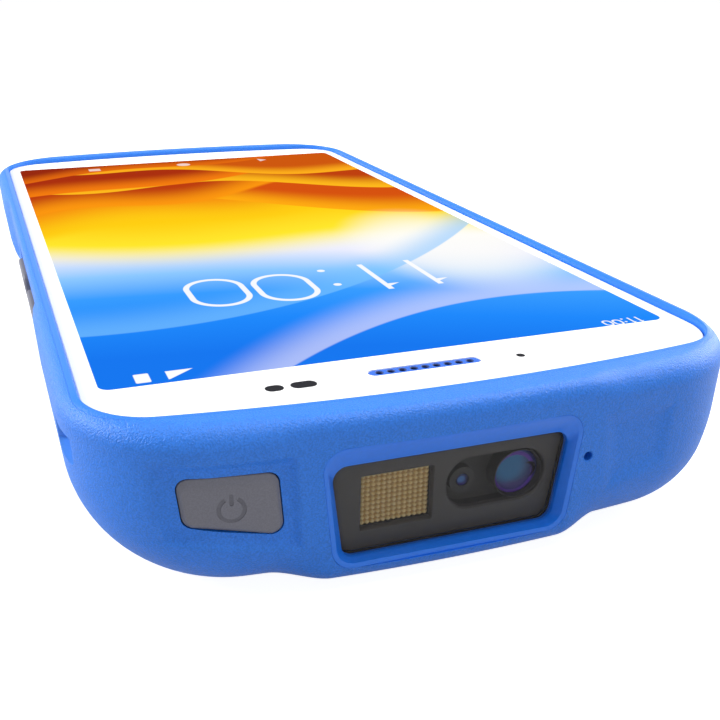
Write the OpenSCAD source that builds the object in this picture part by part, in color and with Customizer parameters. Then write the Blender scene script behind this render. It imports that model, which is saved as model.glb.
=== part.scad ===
// Portable barcode data terminal, lying on its back.
// Z is up out of the display, +Y points to the scanner end, +X is the user's right hand side.
// The origin is the centre of the flat back.

/* [Display and glass] */
// Width of the lit display
display_w = 68; // [66:0.5:72]
// Length of the lit display
display_l = 121; // [114:0.5:128]
// Thickness of the display panel
panel_t = 1.5; // [1.2:0.1:1.8]
// Glass beyond the display at each side
glass_side = 2.05; // [2:0.05:3.5]
// Glass beyond the display at the scanner end
glass_head = 11.25; // [11:0.05:14]
// Glass beyond the display at the bottom end
glass_chin = 8.55; // [8:0.05:12]
// Thickness of the touch glass
glass_t = 1.1; // [0.8:0.1:1.3]
// Corner radius of the glass
glass_corner_r = 7.4; // [6:0.1:9]
// Thickness of the adhesive under the glass
adhesive_t = 0.3; // [0.2:0.05:0.4]
// Gap all round the glass
glass_gap = 0.15; // [0.05:0.05:0.25]

/* [Body] */
// Thickness of the whole terminal
body_t = 19; // [18.4:0.1:21]
// Height of the rim above the glass
rim_h = 0.9; // [0.4:0.1:1.2]
// Width of the front frame's visible ring
frame_w = 0.8; // [0.8:0.1:1.4]
// Housing beyond the front frame at the sides
side_lip = 1.5; // [1.1:0.05:1.7]
// Housing beyond the front frame at the ends
end_lip = 3.75; // [3:0.05:4]
// Corner radius seen from the front
corner_r = 15; // [13:0.5:16]
// Radius of the gently bowed ends
end_bow_r = 215; // [180:5:400]
// Radius of the upper edge at the sides
side_edge_r = 2.3; // [1.6:0.1:2.6]
// Radius of the upper edge at the ends
end_edge_r = 2.6; // [1.8:0.1:3.2]
// Radius of the lower edge at the sides
side_belly_r = 11.3; // [10:0.1:12]
// Radius of the lower edge at the ends
end_belly_r = 7; // [6:0.5:8]
// Draft of the flanks, in degrees
side_draft = 4; // [2:0.5:6]
// Wall thickness of the rear housing
wall = 1.8; // [1.6:0.1:2]
// Width of the ledge that carries the glass
ledge_w = 1.3; // [1:0.1:1.3]
// Thickness of the ledge that carries the glass
ledge_t = 1.2; // [1:0.1:1.3]

/* [Inside] */
// Length of the scanner end compartment
head_l = 47; // [45:0.5:52]
// Length of the connector end compartment
tail_l = 18.5; // [18:0.5:22]
// Thickness of the mid frame
mid_t = 1; // [0.8:0.1:1.2]
// Height of the standoffs between mid frame and main board
standoff_h = 1.1; // [1:0.1:1.3]
// Thickness of the main board
board_t = 1; // [0.8:0.1:1.1]
// Room under the main board for tall parts
under_board_h = 2.3; // [2.2:0.1:2.6]
// Thickness of the battery bay's floor
floor_t = 1.2; // [1:0.1:1.4]

/* [Scan window] */
// Width of the exit window along its upper edge
window_top_w = 26.2; // [25:0.1:27]
// Width of the exit window along its lower edge
window_low_w = 23.4; // [22:0.1:24.2]
// Height of the exit window
window_h = 10.2; // [9.4:0.1:10.4]
// Offset of the exit window from the middle
window_x = 1.25; // [0:0.05:2.5]
// Height of the exit window's middle above the back
window_z = 8.15; // [7.9:0.05:8.3]
// Depth of the exit window behind the end face
window_sink = 1.4; // [1:0.1:1.8]
// Thickness of the exit window
window_t = 1; // [0.8:0.1:1.2]
// Reach of the bezel's slope above the window
bezel_up = 2.5; // [2:0.1:2.6]
// Reach of the bezel's slope below the window
bezel_down = 0.65; // [0.5:0.05:1]
// Reach of the bezel's slope on the power button's side
bezel_near = 1.4; // [1:0.1:1.8]
// Reach of the bezel's slope on the microphone's side
bezel_far = 1.2; // [0.9:0.1:1.6]

/* [Keys] */
// Distance of the power button's middle from the side
power_inset = 14.05; // [13.8:0.05:14.6]
// Width of the power button
power_w = 9.55; // [9:0.05:10]
// Height of the power button's upper edge above the back
power_top_z = 13.85; // [13.4:0.05:14]
// Height of the power button at its tall side
power_tall = 6.8; // [6.2:0.1:7]
// Height of the power button at its short side
power_short = 5.05; // [4.6:0.05:5.4]
// Travel of the power button
power_travel = 0.6; // [0.3:0.05:0.7]
// Height of a side key
key_h = 4.4; // [4:0.1:4.8]
// Length of the larger side keys
long_key_l = 14; // [12:0.5:15]
// Length of the smaller side keys
short_key_l = 11.5; // [9:0.5:12.5]
// Distance of the larger keys' middle from the scanner end
long_key_y = 57.5; // [56:0.5:59]
// Distance of the smaller keys' middle from the scanner end
short_key_y = 76; // [74.5:0.5:78]
// Travel of a side key
key_travel = 0.6; // [0.3:0.05:0.7]
// Depth of the waist that the right keys stand in
waist_depth = 0.8; // [0.4:0.1:0.9]
// Length of the waist past the right keys' recess
waist_run = 20; // [10:1:24]

/* [Battery pack] */
// Distance from the side of the terminal to the pack
pack_side = 11.5; // [11:0.1:12.4]
// Corner radius of the pack
pack_corner_r = 3; // [2:0.5:4]
// Wall of the pack's case
pack_wall = 1; // [0.8:0.1:1.2]
// Swing of the pack when it is lifted out, in degrees
pack_swing = 10; // [6:1:12]
// Distance of the latches from the pack's upper edge
latch_inset = 16; // [15:0.5:20]
// Length of a latch
latch_l = 20; // [19:0.5:22]
// Travel of a latch
latch_travel = 2.2; // [1.8:0.1:2.4]
// Reach of the latch lugs beyond the pack's side
lug_reach = 1.3; // [1:0.1:1.5]

/* [Ports] */
// Width of the receptacle's shell
usb_w = 8.94; // [8.94:0.01:9.1]
// Height of the receptacle's shell
usb_h = 3.16; // [3.1:0.01:3.3]
// Length of the receptacle
usb_l = 7.4; // [6.5:0.1:8]
// Radius of the cradle contacts
contact_r = 1.1; // [0.8:0.1:1.3]
// Distance of each cradle contact from the middle
contact_x = 9.5; // [8.5:0.1:11]
// Radius of the microphone holes
mic_hole_r = 0.5; // [0.4:0.05:0.6]
// Radius of the rear camera's window
camera_window_r = 4.5; // [4:0.1:5]
// Distance of the camera's middle from the side
camera_inset = 19.8; // [19.5:0.1:20.5]
// Distance of the camera from the scanner end
camera_y = 18; // [17:0.5:19]

/* [Fasteners] */
// Radius of a housing screw's shank
screw_r = 1; // [0.8:0.05:1.1]
// Radius of a housing screw's head
screw_head_r = 1.9; // [1.7:0.05:2]
// Height of a housing screw's head
screw_head_h = 1.2; // [1:0.1:1.3]
// Radius of a board screw's shank
board_screw_r = 0.8; // [0.6:0.05:0.9]

/* [Clearances] */
// Gap round keys and buttons
key_gap = 0.12; // [0.08:0.02:0.2]
// Gap between pieces that are seated in each other
seat_gap = 0.05; // [0.03:0.01:0.08]
// Gap at each side of the pack
pack_gap = 0.25; // [0.2:0.05:0.4]
// Gap between latch lugs and their pockets
lug_gap = 0.12; // [0.1:0.02:0.2]

/* [Hidden] */
$fn = 48;
eps = 0.01;

// Overall size, worked out from the display outwards
glass_hw = display_w / 2 + glass_side;
glass_hl = (display_l + glass_head + glass_chin) / 2;
frame_out = glass_gap + frame_w;
corner_wall = 0.8;
body_hw = glass_hw + frame_out + side_lip;
body_hl = glass_hl + frame_out + end_lip;
display_top_y = glass_hl - glass_head;
display_low_y = display_top_y - display_l;

// Heights of the layers, from the rim down
glass_top_z = body_t - rim_h;
glass_low_z = glass_top_z - glass_t;
ledge_top_z = glass_low_z - adhesive_t;
ledge_low_z = ledge_top_z - ledge_t;
panel_top_z = glass_low_z - seat_gap;
panel_low_z = panel_top_z - panel_t;
mid_top_z = min(panel_low_z, ledge_low_z) - 0.2;
mid_low_z = mid_top_z - mid_t;
board_top_z = mid_low_z - standoff_h;
board_low_z = board_top_z - board_t;
floor_top_z = board_low_z - under_board_h;
floor_low_z = floor_top_z - floor_t;
pack_t = floor_low_z - 0.2;

// Battery bay
pack_hw = body_hw - pack_side;
bay_hw = pack_hw + pack_gap;
bay_top_y = body_hl - head_l;
bay_low_y = -body_hl + tail_l;
bay_l = bay_top_y - bay_low_y;
bay_wall = 1.5;
// The pack turns about the round of its lower edge, and its upper corner needs room to swing past
hinge_r = 1.35;
swing_room = norm([bay_l, pack_t - hinge_r]) - bay_l + 0.1;
pack_top_y = bay_top_y - swing_room;
pack_low_y = bay_low_y + 0.4;
hinge_y = pack_low_y + hinge_r;
hook_x = 10;
hook_w = 8;
hook_reach = 3;
latch_y = pack_top_y - latch_inset;
latch_reach = latch_y - hinge_y;
lug_w = 3.6;
lug_low_z = 3;
lug_top_z = min(6.2, pack_t - 1.6);
// Slope of the lugs and of their pockets: a little less than the latch's slope in its swing
lug_slope = 0.9 * latch_travel / (latch_reach * sin(pack_swing));
latch_depth = 3;
spring_l = 4.5;
spring_r = 1.3;
finger_hw = latch_l / 2 - lug_w - 0.2;
finger_top_z = lug_top_z + 0.5;

// Keys
key_face_x = body_hw - 0.3;
key_recess_x = body_hw - 1.45;
key_lean = 0.5;
key_pocket_x = key_recess_x - 1.05;
key_z = min(12.6, ledge_low_z - key_h / 2 - 0.5);
key_lip = 0.35;
key_flange_t = 0.6;
key_board_x = key_pocket_x - key_flange_t - key_travel - 2.1;
key_seal_t = 0.4;
recess_margin = 5;
recess_top_y = body_hl - long_key_y + long_key_l / 2 + recess_margin - 1;
recess_low_y = body_hl - short_key_y - short_key_l / 2 - recess_margin;

waist_blend = 4;
waist_lean = 0.8;
waist_low_z = 9;
waist_top_y = recess_top_y - 2;
waist_low_y = recess_low_y - waist_run;

// Power button, with its places measured from the end face and the side
power_x = body_hw - power_inset;
scoop_depth = 0.7;
scoop_margin = 1.4;
power_lean = 0.6;
power_flange_t = 0.6;
power_board_y = body_hl - 6.3;
power_mid_z = power_top_z - 2.9;
dome_t = 0.15;
stop_gap = 0.02;

// Scan window and bezel
window_y = body_hl - window_sink;
hood_low_z = 0.4;
hood_edge_r = 2.5;
hood_flare = 5.2;
bezel_depth = 2.8;
face_y = window_y - window_t - 0.35;
engine_depth = 13;
engine_head = 4.9;
engine_hw = 12.2;
engine_low_z = 3.9;
engine_top_z = board_low_z - 0.25;
engine_screw_x = 9.4;
engine_screw_y = face_y - 11;
lamp_x = window_x + 5.5;
lamp_z = window_z - 0.15;
lamp_w = 7.6;
lamp_h = 5.8;
aimer_x = window_x - 2.2;
imager_x = window_x - 8.4;
optics_x = window_x - 5.75;
optics_z = window_z + 0.15;
optics_w = 11.5;
optics_h = 5.85;
optics_depth = 1;
imager_r = 2.8;
barrel_t = 0.3;
barrel_l = 5.2;
barrel_sink = 0.2;
aimer_sink = 0.7;
aimer_r = 0.7;
collar_r = 1.5;
lens_gap = 0.02;

// Screws
screw_y_top = body_hl - 13;
screw_y_mid = bay_top_y + 5;
screw_y_low = -body_hl + 12.7;
screw_x_top = body_hw - 12.3;
screw_x_mid = body_hw - 13.6;
screw_x_low = body_hw - 14.3;
screws = [
    [screw_x_top, screw_y_top], [-screw_x_top, screw_y_top], [screw_x_mid, screw_y_mid],
    [-screw_x_mid, screw_y_mid], [screw_x_low, screw_y_low], [-screw_x_low, screw_y_low]
];
screw_sink = 0.3;
column_r = 2.7;
boss_r = 2.3;
board_screw_x = body_hw - 9.3;
board_screw_top = body_hl - 31.1;
board_screw_low = 35.1 - body_hl;
board_screws_at = [
    [board_screw_x, board_screw_top], [-board_screw_x, board_screw_top],
    [board_screw_x, board_screw_low], [-board_screw_x, board_screw_low]
];

// Accessory notch
notch_l = 7;
notch_h = 3;
notch_z = 13.9;
notch_depth = 1.3;

// Receiver, sensors, microphones and lower end
receiver_y = display_top_y + 4.4;
slot_l = 13.2;
slot_w = 1.64;
grille_sink = 0.06;
sensor_x = 15.3;
sensor_y = display_top_y + 5.3;
led_x = -11.3;
usb_z = board_low_z - usb_h / 2;
usb_wall = 0.3;
usb_tongue_w = 6.7;
usb_tongue_t = 0.7;
speaker_x = contact_x + 8.6;
speaker_z = usb_z - 1.2;
speaker_w = 13;
speaker_y = -body_hl + wall + 2.4;
mic_x = window_x - window_top_w / 2 - bezel_far - 0.8;
mic_z = window_z + 2.25;
low_mic_x = -contact_x - 8.5;

// Electronic modules on the main board and in the ends
board_hw = body_hw - wall - 4.4;
chip_w = 14;
chip_y = bay_top_y - 9.1;
can_w = 24;
can_h = 0.95;
can_wall = 0.2;
can_gap = 1.5;
side_can_w = 16;
side_can_l = 20;
low_can_w = 2 * (board_hw - 10.6);
low_can_l = 30;
low_can_y = bay_low_y + 28.6;
socket_w = 14;
socket_l = 13;
socket_h = 1.4;
camera_x = body_hw - camera_inset;
socket_x = board_hw - 16.6;
cell_r = 5;
cell_h = 2.1;
cell_x = 20.6 - board_hw;
motor_r = 4;
motor_h = 2.7;
side_antenna_x = body_hw - 10.3;
low_antenna_x = 12.8 - body_hw;
motor_x = low_antenna_x + 11.7;
contacts_w = 18;
contacts_l = 4;
contacts_y = bay_top_y - 6;

// ---- Outlines and skins ----

function arc(cx, cy, r, a0, a1, n) =
    [for (i = [0:n]) let (a = a0 + (a1 - a0) * i / n) [cx + r * cos(a), cy + r * sin(a)]];

// Outline with straight sides, bowed ends and round corners, counterclockwise
function bowed(hw, hl, r, nc = 6, ne = 6) =
    let (
        cx = hw - r,
        reach = sqrt(pow(end_bow_r - r, 2) - cx * cx),
        cy = hl - end_bow_r + reach,
        a = atan2(reach, cx),
        bow = arc(0, hl - end_bow_r, end_bow_r, a, 180 - a, ne),
        low = arc(0, end_bow_r - hl, end_bow_r, 180 + a, 360 - a, ne)
    )
    concat(
        arc(cx, cy, r, 0, a, nc), [for (i = [1:ne - 1]) bow[i]],
        arc(-cx, cy, r, 180 - a, 180, nc),
        arc(-cx, -cy, r, 180, 180 + a, nc), [for (i = [1:ne - 1]) low[i]],
        arc(cx, -cy, r, 360 - a, 360, nc)
    );

// Rectangle with round corners, centred
function rrect(w, h, r, n = 5) =
    concat(
        arc(w / 2 - r, h / 2 - r, r, 0, 90, n), arc(r - w / 2, h / 2 - r, r, 90, 180, n),
        arc(r - w / 2, r - h / 2, r, 180, 270, n), arc(w / 2 - r, r - h / 2, r, 270, 360, n)
    );

function unit(v) = v / norm(v);

// Convex polygon with every corner rounded to radius r
function rounded(pts, r, n = 5) = [
    for (i = [0:len(pts) - 1])
        let (
            p = pts[i],
            u = unit(pts[(i + len(pts) - 1) % len(pts)] - p),
            v = unit(pts[(i + 1) % len(pts)] - p),
            half = acos(u * v) / 2,
            c = p + unit(u + v) * r / sin(half),
            a0 = atan2((p + u * r / tan(half) - c)[1], (p + u * r / tan(half) - c)[0]),
            a1 = atan2((p + v * r / tan(half) - c)[1], (p + v * r / tan(half) - c)[0]),
            turn = a1 < a0 ? a1 + 360 - a0 : a1 - a0
        )
        for (k = [0:n]) c + r * [cos(a0 + turn * k / n), sin(a0 + turn * k / n)]
];

// Closed solid through rings of equal length, each counterclockwise seen from the last one
module skin(rings) {
    n = len(rings[0]);
    m = len(rings);
    polyhedron(
        points = [for (ring = rings) for (p = ring) p],
        faces = concat(
            [[for (i = [0:n - 1]) i], [for (i = [n - 1:-1:0]) (m - 1) * n + i]],
            [for (k = [0:m - 2]) for (i = [0:n - 1]) let (j = (i + 1) % n)
                [k * n + i, (k + 1) * n + i, (k + 1) * n + j]],
            [for (k = [0:m - 2]) for (i = [0:n - 1]) let (j = (i + 1) % n)
                [k * n + i, (k + 1) * n + j, k * n + j]]
        ),
        convexity = 6
    );
}

// Distance from an arc's end plane to the arc, at depth d into a round of radius r
function round_in(r, d) = d >= r ? 0 : r - sqrt(r * r - (r - d) * (r - d));

// How far the surface lies inside the widest outline, at height z and w under the skin
function side_in(z, w = 0) =
    w + round_in(side_edge_r, body_t - z) + round_in(side_belly_r - w, z - w)
    + tan(side_draft) * max(0, body_t - 2 - z);
function end_in(z, w = 0) =
    w + round_in(end_edge_r, body_t - z) + round_in(end_belly_r - w, z - w);

function level(z, w = 0) =
    let (a = side_in(z, w), b = end_in(z, w))
    [for (p = bowed(body_hw - a, body_hl - b, corner_r - (a + b) / 2)) [p[0], p[1], z]];

// Heights of the skin's rings, close together where it is round
belly_r = max(side_belly_r, end_belly_r);
edge_r = max(side_edge_r, end_edge_r);
belly_levels = [for (a = [90:-11.25:0]) belly_r * (1 - sin(a))];
edge_levels = [for (a = [0:18:90]) body_t - edge_r * (1 - sin(a))];
flank_z = (belly_r + body_t - edge_r) / 2;

module outer_skin() {
    skin([for (z = concat(belly_levels, [flank_z], edge_levels)) level(z)]);
}

// Room inside the housing, down to z0
module inner_skin(z0) {
    steps = [for (a = [90:-18:0]) wall + (belly_r - wall) * (1 - sin(a))];
    skin([for (z = concat(steps, [ledge_low_z])) if (z > z0) level(z, wall)]);
}

// Prism over an outline in the X-Z plane, from y0 to y1
module end_prism(pts, y0, y1) {
    translate([0, y1, 0]) rotate([90, 0, 0]) linear_extrude(y1 - y0) polygon(pts);
}

// Prism over an outline in the Y-Z plane, from x0 to x1
module side_prism(pts, x0, x1) {
    translate([x0, 0, 0]) rotate([90, 0, 90]) linear_extrude(x1 - x0) polygon(pts);
}

module flat_prism(pts, z0, z1) {
    translate([0, 0, z0]) linear_extrude(z1 - z0) polygon(pts);
}

// Box from one corner to the other
module block(a, b) {
    translate(a) cube(b - a);
}

function shift(pts, d) = [for (p = pts) p + d];

// ---- Shared outlines ----

function glass_line(d) = bowed(glass_hw + d, glass_hl + d, glass_corner_r + d);

// Outer outline of the front frame, which leaves a wall at the housing's corners
module frame_block(d, z0, z1) {
    intersection() {
        flat_prism(glass_line(frame_out + d), z0, z1);
        flat_prism(
            bowed(
                body_hw - corner_wall + d, body_hl - corner_wall + d, corner_r - corner_wall + d
            ), z0 - 1, z1 + 1
        );
    }
}

function window_line(d) =
    rounded([
        [window_x - window_low_w / 2 - d, window_z - window_h / 2 - d],
        [window_x + window_low_w / 2 + d, window_z - window_h / 2 - d],
        [window_x + window_top_w / 2 + d, window_z + window_h / 2 + d],
        [window_x - window_top_w / 2 - d, window_z + window_h / 2 + d]
    ], 1.4 + d);

// Outer edge of the bezel's slopes, widened by d
function bezel_line(d) =
    rounded([
        [window_x - window_low_w / 2 - bezel_far - d, window_z - window_h / 2 - bezel_down - d],
        [window_x + window_low_w / 2 + bezel_near + d, window_z - window_h / 2 - bezel_down - d],
        [window_x + window_top_w / 2 + bezel_near + d, window_z + window_h / 2 + bezel_up + d],
        [window_x - window_top_w / 2 - bezel_far - d, window_z + window_h / 2 + bezel_up + d]
    ], 2.4 + d);

// Outline of the hood, which flares out towards the flanks
hood_x0 = window_x - window_low_w / 2;
hood_x1 = window_x + window_low_w / 2;
function hood_line() =
    rounded([
        [hood_x0, hood_low_z], [hood_x1, hood_low_z], [hood_x1 + hood_flare, hood_low_z + 2.2],
        [hood_x1 + hood_flare + 2, hood_low_z + 5], [hood_x1 + hood_flare + 2, window_z],
        [hood_x0 - hood_flare - 2, window_z], [hood_x0 - hood_flare - 2, hood_low_z + 5],
        [hood_x0 - hood_flare, hood_low_z + 2.2]
    ], 1);

function power_line(d) =
    rounded([
        [power_x - power_w / 2 - power_lean - d, power_top_z - power_tall - d],
        [power_x + power_w / 2 - power_lean + d, power_top_z - power_short - d],
        [power_x + power_w / 2 + d, power_top_z + d],
        [power_x - power_w / 2 - d, power_top_z + d]
    ], 1.1 + d);

function key_line(y, l, d) = shift(rrect(l + 2 * d, key_h + 2 * d, 1.5 + d), [y, key_z]);
function long_key_line(d) = key_line(body_hl - long_key_y, long_key_l, d);
function short_key_line(d) = key_line(body_hl - short_key_y, short_key_l, d);
function recess_line() =
    shift(rrect(recess_top_y - recess_low_y, key_h + 2.4, 2), [(recess_top_y + recess_low_y) / 2, key_z]);
function end_to_end(hw, y0, y1) = shift(rrect(2 * hw, y1 - y0, pack_corner_r), [0, (y0 + y1) / 2]);
function board_line() = shift(bowed(board_hw, body_hl - 6, 9), [0, -3.2]);

module both_sides() {
    children();
    mirror([1, 0, 0]) children();
}

// ---- Housing ----

// Hood round the bezel, which carries the end face down to the back
module hood() {
    intersection() {
        end_prism(hood_line(), body_hl - end_belly_r - 1, body_hl + 1);
        flat_prism(bowed(body_hw, body_hl, corner_r, 4, 12), 0, body_t);
        side_prism(
            concat(
                [[body_hl - 2 * end_belly_r, window_z], [body_hl - 2 * end_belly_r, hood_low_z]],
                arc(body_hl - hood_edge_r, hood_low_z + hood_edge_r, hood_edge_r, 270, 360, 6),
                [[body_hl + 1, 2 * hood_edge_r + hood_low_z], [body_hl + 1, window_z]]
            ),
            -body_hw, body_hw
        );
    }
}

module power_scoop() {
    difference() {
        end_prism(power_line(scoop_margin), body_hl - 6, body_hl + 1);
        flat_prism(bowed(body_hw - 0.3, body_hl - scoop_depth, corner_r - 0.5), 0, body_t);
    }
}

module key_cuts() {
    side_prism(recess_line(), key_recess_x, body_hw + 1);
    side_prism(long_key_line(key_gap), key_pocket_x - 1, body_hw + 1);
    side_prism(short_key_line(key_gap), key_pocket_x - 1, body_hw + 1);
    block(
        [key_board_x - 0.6, recess_low_y + 2, floor_top_z - 0.1],
        [key_pocket_x, recess_top_y - 2, ledge_low_z]
    );
}

// Waist of the right flank, from the belly to the rim
module side_waist() {
    top_x = body_hw - waist_depth;
    low_x = top_x - waist_lean;
    intersection() {
        flat_prism(
            [
                [low_x, waist_low_y], [body_hw, waist_low_y - waist_blend],
                [body_hw + 1, waist_low_y - waist_blend], [body_hw + 1, waist_top_y + waist_blend],
                [body_hw, waist_top_y + waist_blend], [low_x, waist_top_y]
            ],
            -1, body_t + 1
        );
        end_prism(
            [
                [low_x, -1], [body_hw + 1, -1], [body_hw + 1, body_t + 1], [top_x, body_t + 1],
                [top_x, body_t - side_edge_r], [low_x, waist_low_z]
            ],
            waist_low_y - waist_blend, waist_top_y + waist_blend
        );
    }
}

// Lug pockets, open to the back, and the finger notch through the flank
module latch_cuts() {
    for (s = [-1, 1]) {
        y = latch_y + s * (latch_l - lug_w) / 2;
        translate([0, y + lug_w / 2 + 0.3, 0]) rotate([90, 0, 0]) linear_extrude(lug_w + 1.2)
            polygon([
                [bay_hw - 1, lug_top_z + lug_gap], [bay_hw - 1, -1],
                [pack_hw + lug_reach + lug_gap - lug_slope * (lug_top_z + 1), -1],
                [pack_hw + lug_reach + lug_gap, lug_top_z + lug_gap]
            ]);
    }
    block([bay_hw - 1, latch_y - finger_hw, -1], [body_hw + 1, latch_y + finger_hw, finger_top_z]);
}

module rear_housing() {
    color("royalblue") difference() {
        union() {
            outer_skin();
            hood();
        }
        frame_block(seat_gap, ledge_low_z, body_t + 1);
        difference() {
            inner_skin(wall - 1);
            // Battery bay with its walls and floor
            block(
                [-bay_hw - bay_wall, bay_low_y - bay_wall, -1],
                [bay_hw + bay_wall, bay_top_y + bay_wall, floor_top_z]
            );
            // Solid flanks at the latches
            block(
                [-body_hw, latch_y - latch_l / 2 - bay_wall, -1],
                [body_hw, latch_y + latch_l / 2 + bay_wall, floor_top_z - 0.1]
            );
            for (p = screws) translate([p[0], p[1], 0]) cylinder(r = column_r, h = floor_top_z);
            // Land that carries the camera window
            translate([-camera_x, body_hl - camera_y, 0]) cylinder(r = camera_window_r + 1.6, h = 2.6);
        }
        flat_prism(end_to_end(bay_hw, bay_low_y, bay_top_y), -1, floor_low_z);
        block(
            [-hook_x - hook_w / 2 - 2, bay_low_y - hook_reach - 0.4, hinge_r],
            [hook_x + hook_w / 2 + 2, bay_low_y + 1, hinge_r + 2.8]
        );
        for (p = screws) translate([p[0], p[1], -1]) {
            cylinder(r = screw_r + 0.1, h = floor_top_z + 2);
            cylinder(r = screw_head_r + 0.15, h = 1 + screw_head_h + screw_sink);
        }
        end_prism(bezel_line(seat_gap), body_hl - bezel_depth - seat_gap, body_hl + 1);
        // Room for the window's flange, its gasket and the engine's front plate
        end_prism(window_line(0.9), face_y - 1.2, window_y - 0.5);
        power_scoop();
        end_prism(power_line(key_gap), body_hl - 6, body_hl + 1);
        intersection() {
            end_prism(power_line(1), power_board_y - 1, body_hl);
            end_face(wall - seat_gap);
        }
        side_waist();
        both_sides() key_cuts();
        both_sides() latch_cuts();
        both_sides() accessory_notch();
        // Contacts through the bay floor
        block(
            [-contacts_w / 2 - 0.2, contacts_y - contacts_l / 2 - 0.2, floor_low_z - 1],
            [contacts_w / 2 + 0.2, contacts_y + contacts_l / 2 + 0.2, floor_top_z + 1]
        );
        // Microphone, receptacle, contacts and loudspeaker slots
        translate([mic_x, body_hl + 1, mic_z]) rotate([90, 0, 0]) cylinder(r = mic_hole_r, h = 5);
        translate([low_mic_x, -body_hl + 4, usb_z]) rotate([90, 0, 0]) cylinder(r = mic_hole_r, h = 5);
        end_prism(
            shift(rrect(usb_w + 0.3, usb_h + 0.3, usb_h / 2), [0, usb_z]), -body_hl - 1, -body_hl + wall + 1
        );
        for (s = [-1, 1]) translate([s * contact_x, -body_hl + 5, usb_z]) rotate([90, 0, 0])
            cylinder(r = contact_r + seat_gap, h = 6);
        for (i = [-2.5:2.5]) end_prism(
            shift(rrect(1, 4, 0.49), [speaker_x + 2.1 * i, speaker_z]), -body_hl - 1, speaker_y
        );
        // Camera and flash windows in the back
        translate([-camera_x, body_hl - camera_y, -1]) {
            cylinder(r = camera_window_r + seat_gap, h = 2);
            cylinder(r = camera_window_r - 0.8, h = 5);
        }
        translate([-camera_x, body_hl - camera_y - 9.5, -1]) cylinder(r = 1.9 + seat_gap, h = 5);
    }
}

// Shallow pocket in each flank that a cradle or a trigger handle grips
module accessory_notch() {
    side_prism(
        shift(rrect(notch_l, notch_h, 0.6), [body_hl - 15.1, notch_z]), body_hw - notch_depth, body_hw + 1
    );
}

module front_frame() {
    color("dodgerblue") difference() {
        intersection() {
            frame_block(0, ledge_low_z, body_t);
            outer_skin();
        }
        flat_prism(glass_line(glass_gap), ledge_top_z, body_t + 1);
        flat_prism(glass_line(-ledge_w), ledge_low_z - 1, body_t + 1);
    }
}

// Slot with round ends along X
function slot_line(l, w) = rrect(l, w, w / 2 - 0.001, 8);

module touch_glass() {
    color("white") difference() {
        flat_prism(glass_line(0), glass_low_z, glass_top_z);
        flat_prism(shift(slot_line(slot_l, slot_w), [0, receiver_y]), glass_low_z - 1, glass_top_z + 1);
    }
}

module glass_adhesive() {
    color("dimgray") difference() {
        flat_prism(glass_line(-0.1), ledge_top_z, glass_low_z);
        flat_prism(glass_line(-ledge_w), ledge_top_z - 1, glass_low_z + 1);
    }
}

module display_panel() {
    color("deepskyblue") {
        block(
            [-display_w / 2 - 0.5, display_low_y - 0.5, panel_low_z],
            [display_w / 2 + 0.5, display_top_y + 1, panel_top_z]
        );
        // Narrower strip that carries the driver
        block(
            [4 - display_w / 2, display_low_y - 2, panel_low_z],
            [display_w / 2 - 4, display_low_y, panel_top_z]
        );
    }
}

// Ribbon from the panel's lower edge, through the mid frame, down to the main board
module display_flex() {
    y = display_low_y - 3.4;
    color("darkorange") {
        block([-9, y, board_top_z], [9, y + 0.3, panel_low_z + 0.3]);
        block([-9, y + 0.3, panel_low_z], [9, display_low_y - 2 - seat_gap, panel_low_z + 0.3]);
        block([-9, y - 3, board_top_z], [9, y, board_top_z + 0.8]);
    }
}

module mid_frame() {
    color("silver") difference() {
        union() {
            intersection() {
                flat_prism(
                    shift(rrect(2 * body_hw - 5.2, 2 * body_hl - 12, 9), [0, -2]), mid_low_z, mid_top_z
                );
                inner_fit();
            }
            for (p = screws) translate([p[0], p[1], floor_top_z + seat_gap])
                cylinder(r = boss_r, h = mid_top_z - floor_top_z - seat_gap);
            for (p = board_screws_at)
                translate([p[0], p[1], board_top_z]) cylinder(r = 1.8, h = mid_top_z - board_top_z);
        }
        for (p = screws) translate([p[0], p[1], 0]) cylinder(r = screw_r + seat_gap, h = mid_top_z - 0.3);
        for (p = board_screws_at)
            translate([p[0], p[1], 0]) cylinder(r = board_screw_r + seat_gap, h = mid_top_z - 0.3);
        both_sides() block([key_board_x - 1.1, recess_low_y, 0], [body_hw, recess_top_y, body_t]);
        block([-8.5, receiver_y - 4.2, 0], [8.5, receiver_y + 4.2, body_t]);
        block([-10, display_low_y - 7, 0], [10, display_low_y - 2.8, body_t]);
        end_prism(power_line(3), power_board_y - 2, body_hl);
    }
}

// Room for plates that lie inside the housing
module inner_fit() {
    flat_prism(bowed(body_hw - wall - 0.9, body_hl - wall - 0.9, corner_r - wall), 0, body_t);
}

module main_board() {
    color("darkgreen") difference() {
        union() {
            flat_prism(board_line(), board_low_z, board_top_z);
            // Tongue that carries the upper microphone
            block([mic_x - 3.4, body_hl - 12, board_low_z], [mic_x + 0.8, body_hl - 4.1, board_top_z]);
        }
        for (p = screws) translate([p[0], p[1], 0]) cylinder(r = boss_r + 0.4, h = body_t);
        for (s = [-1, 1]) translate([window_x + s * engine_screw_x, engine_screw_y, 0])
            cylinder(r = board_screw_r + 0.1, h = body_t);
        for (p = board_screws_at) translate([p[0], p[1], 0]) cylinder(r = board_screw_r + 0.1, h = body_t);
    }
}

module processor() {
    color("black") block(
        [-chip_w / 2, chip_y - chip_w / 2, board_top_z],
        [chip_w / 2, chip_y + chip_w / 2, board_top_z + can_h - 0.25]
    );
}

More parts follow.
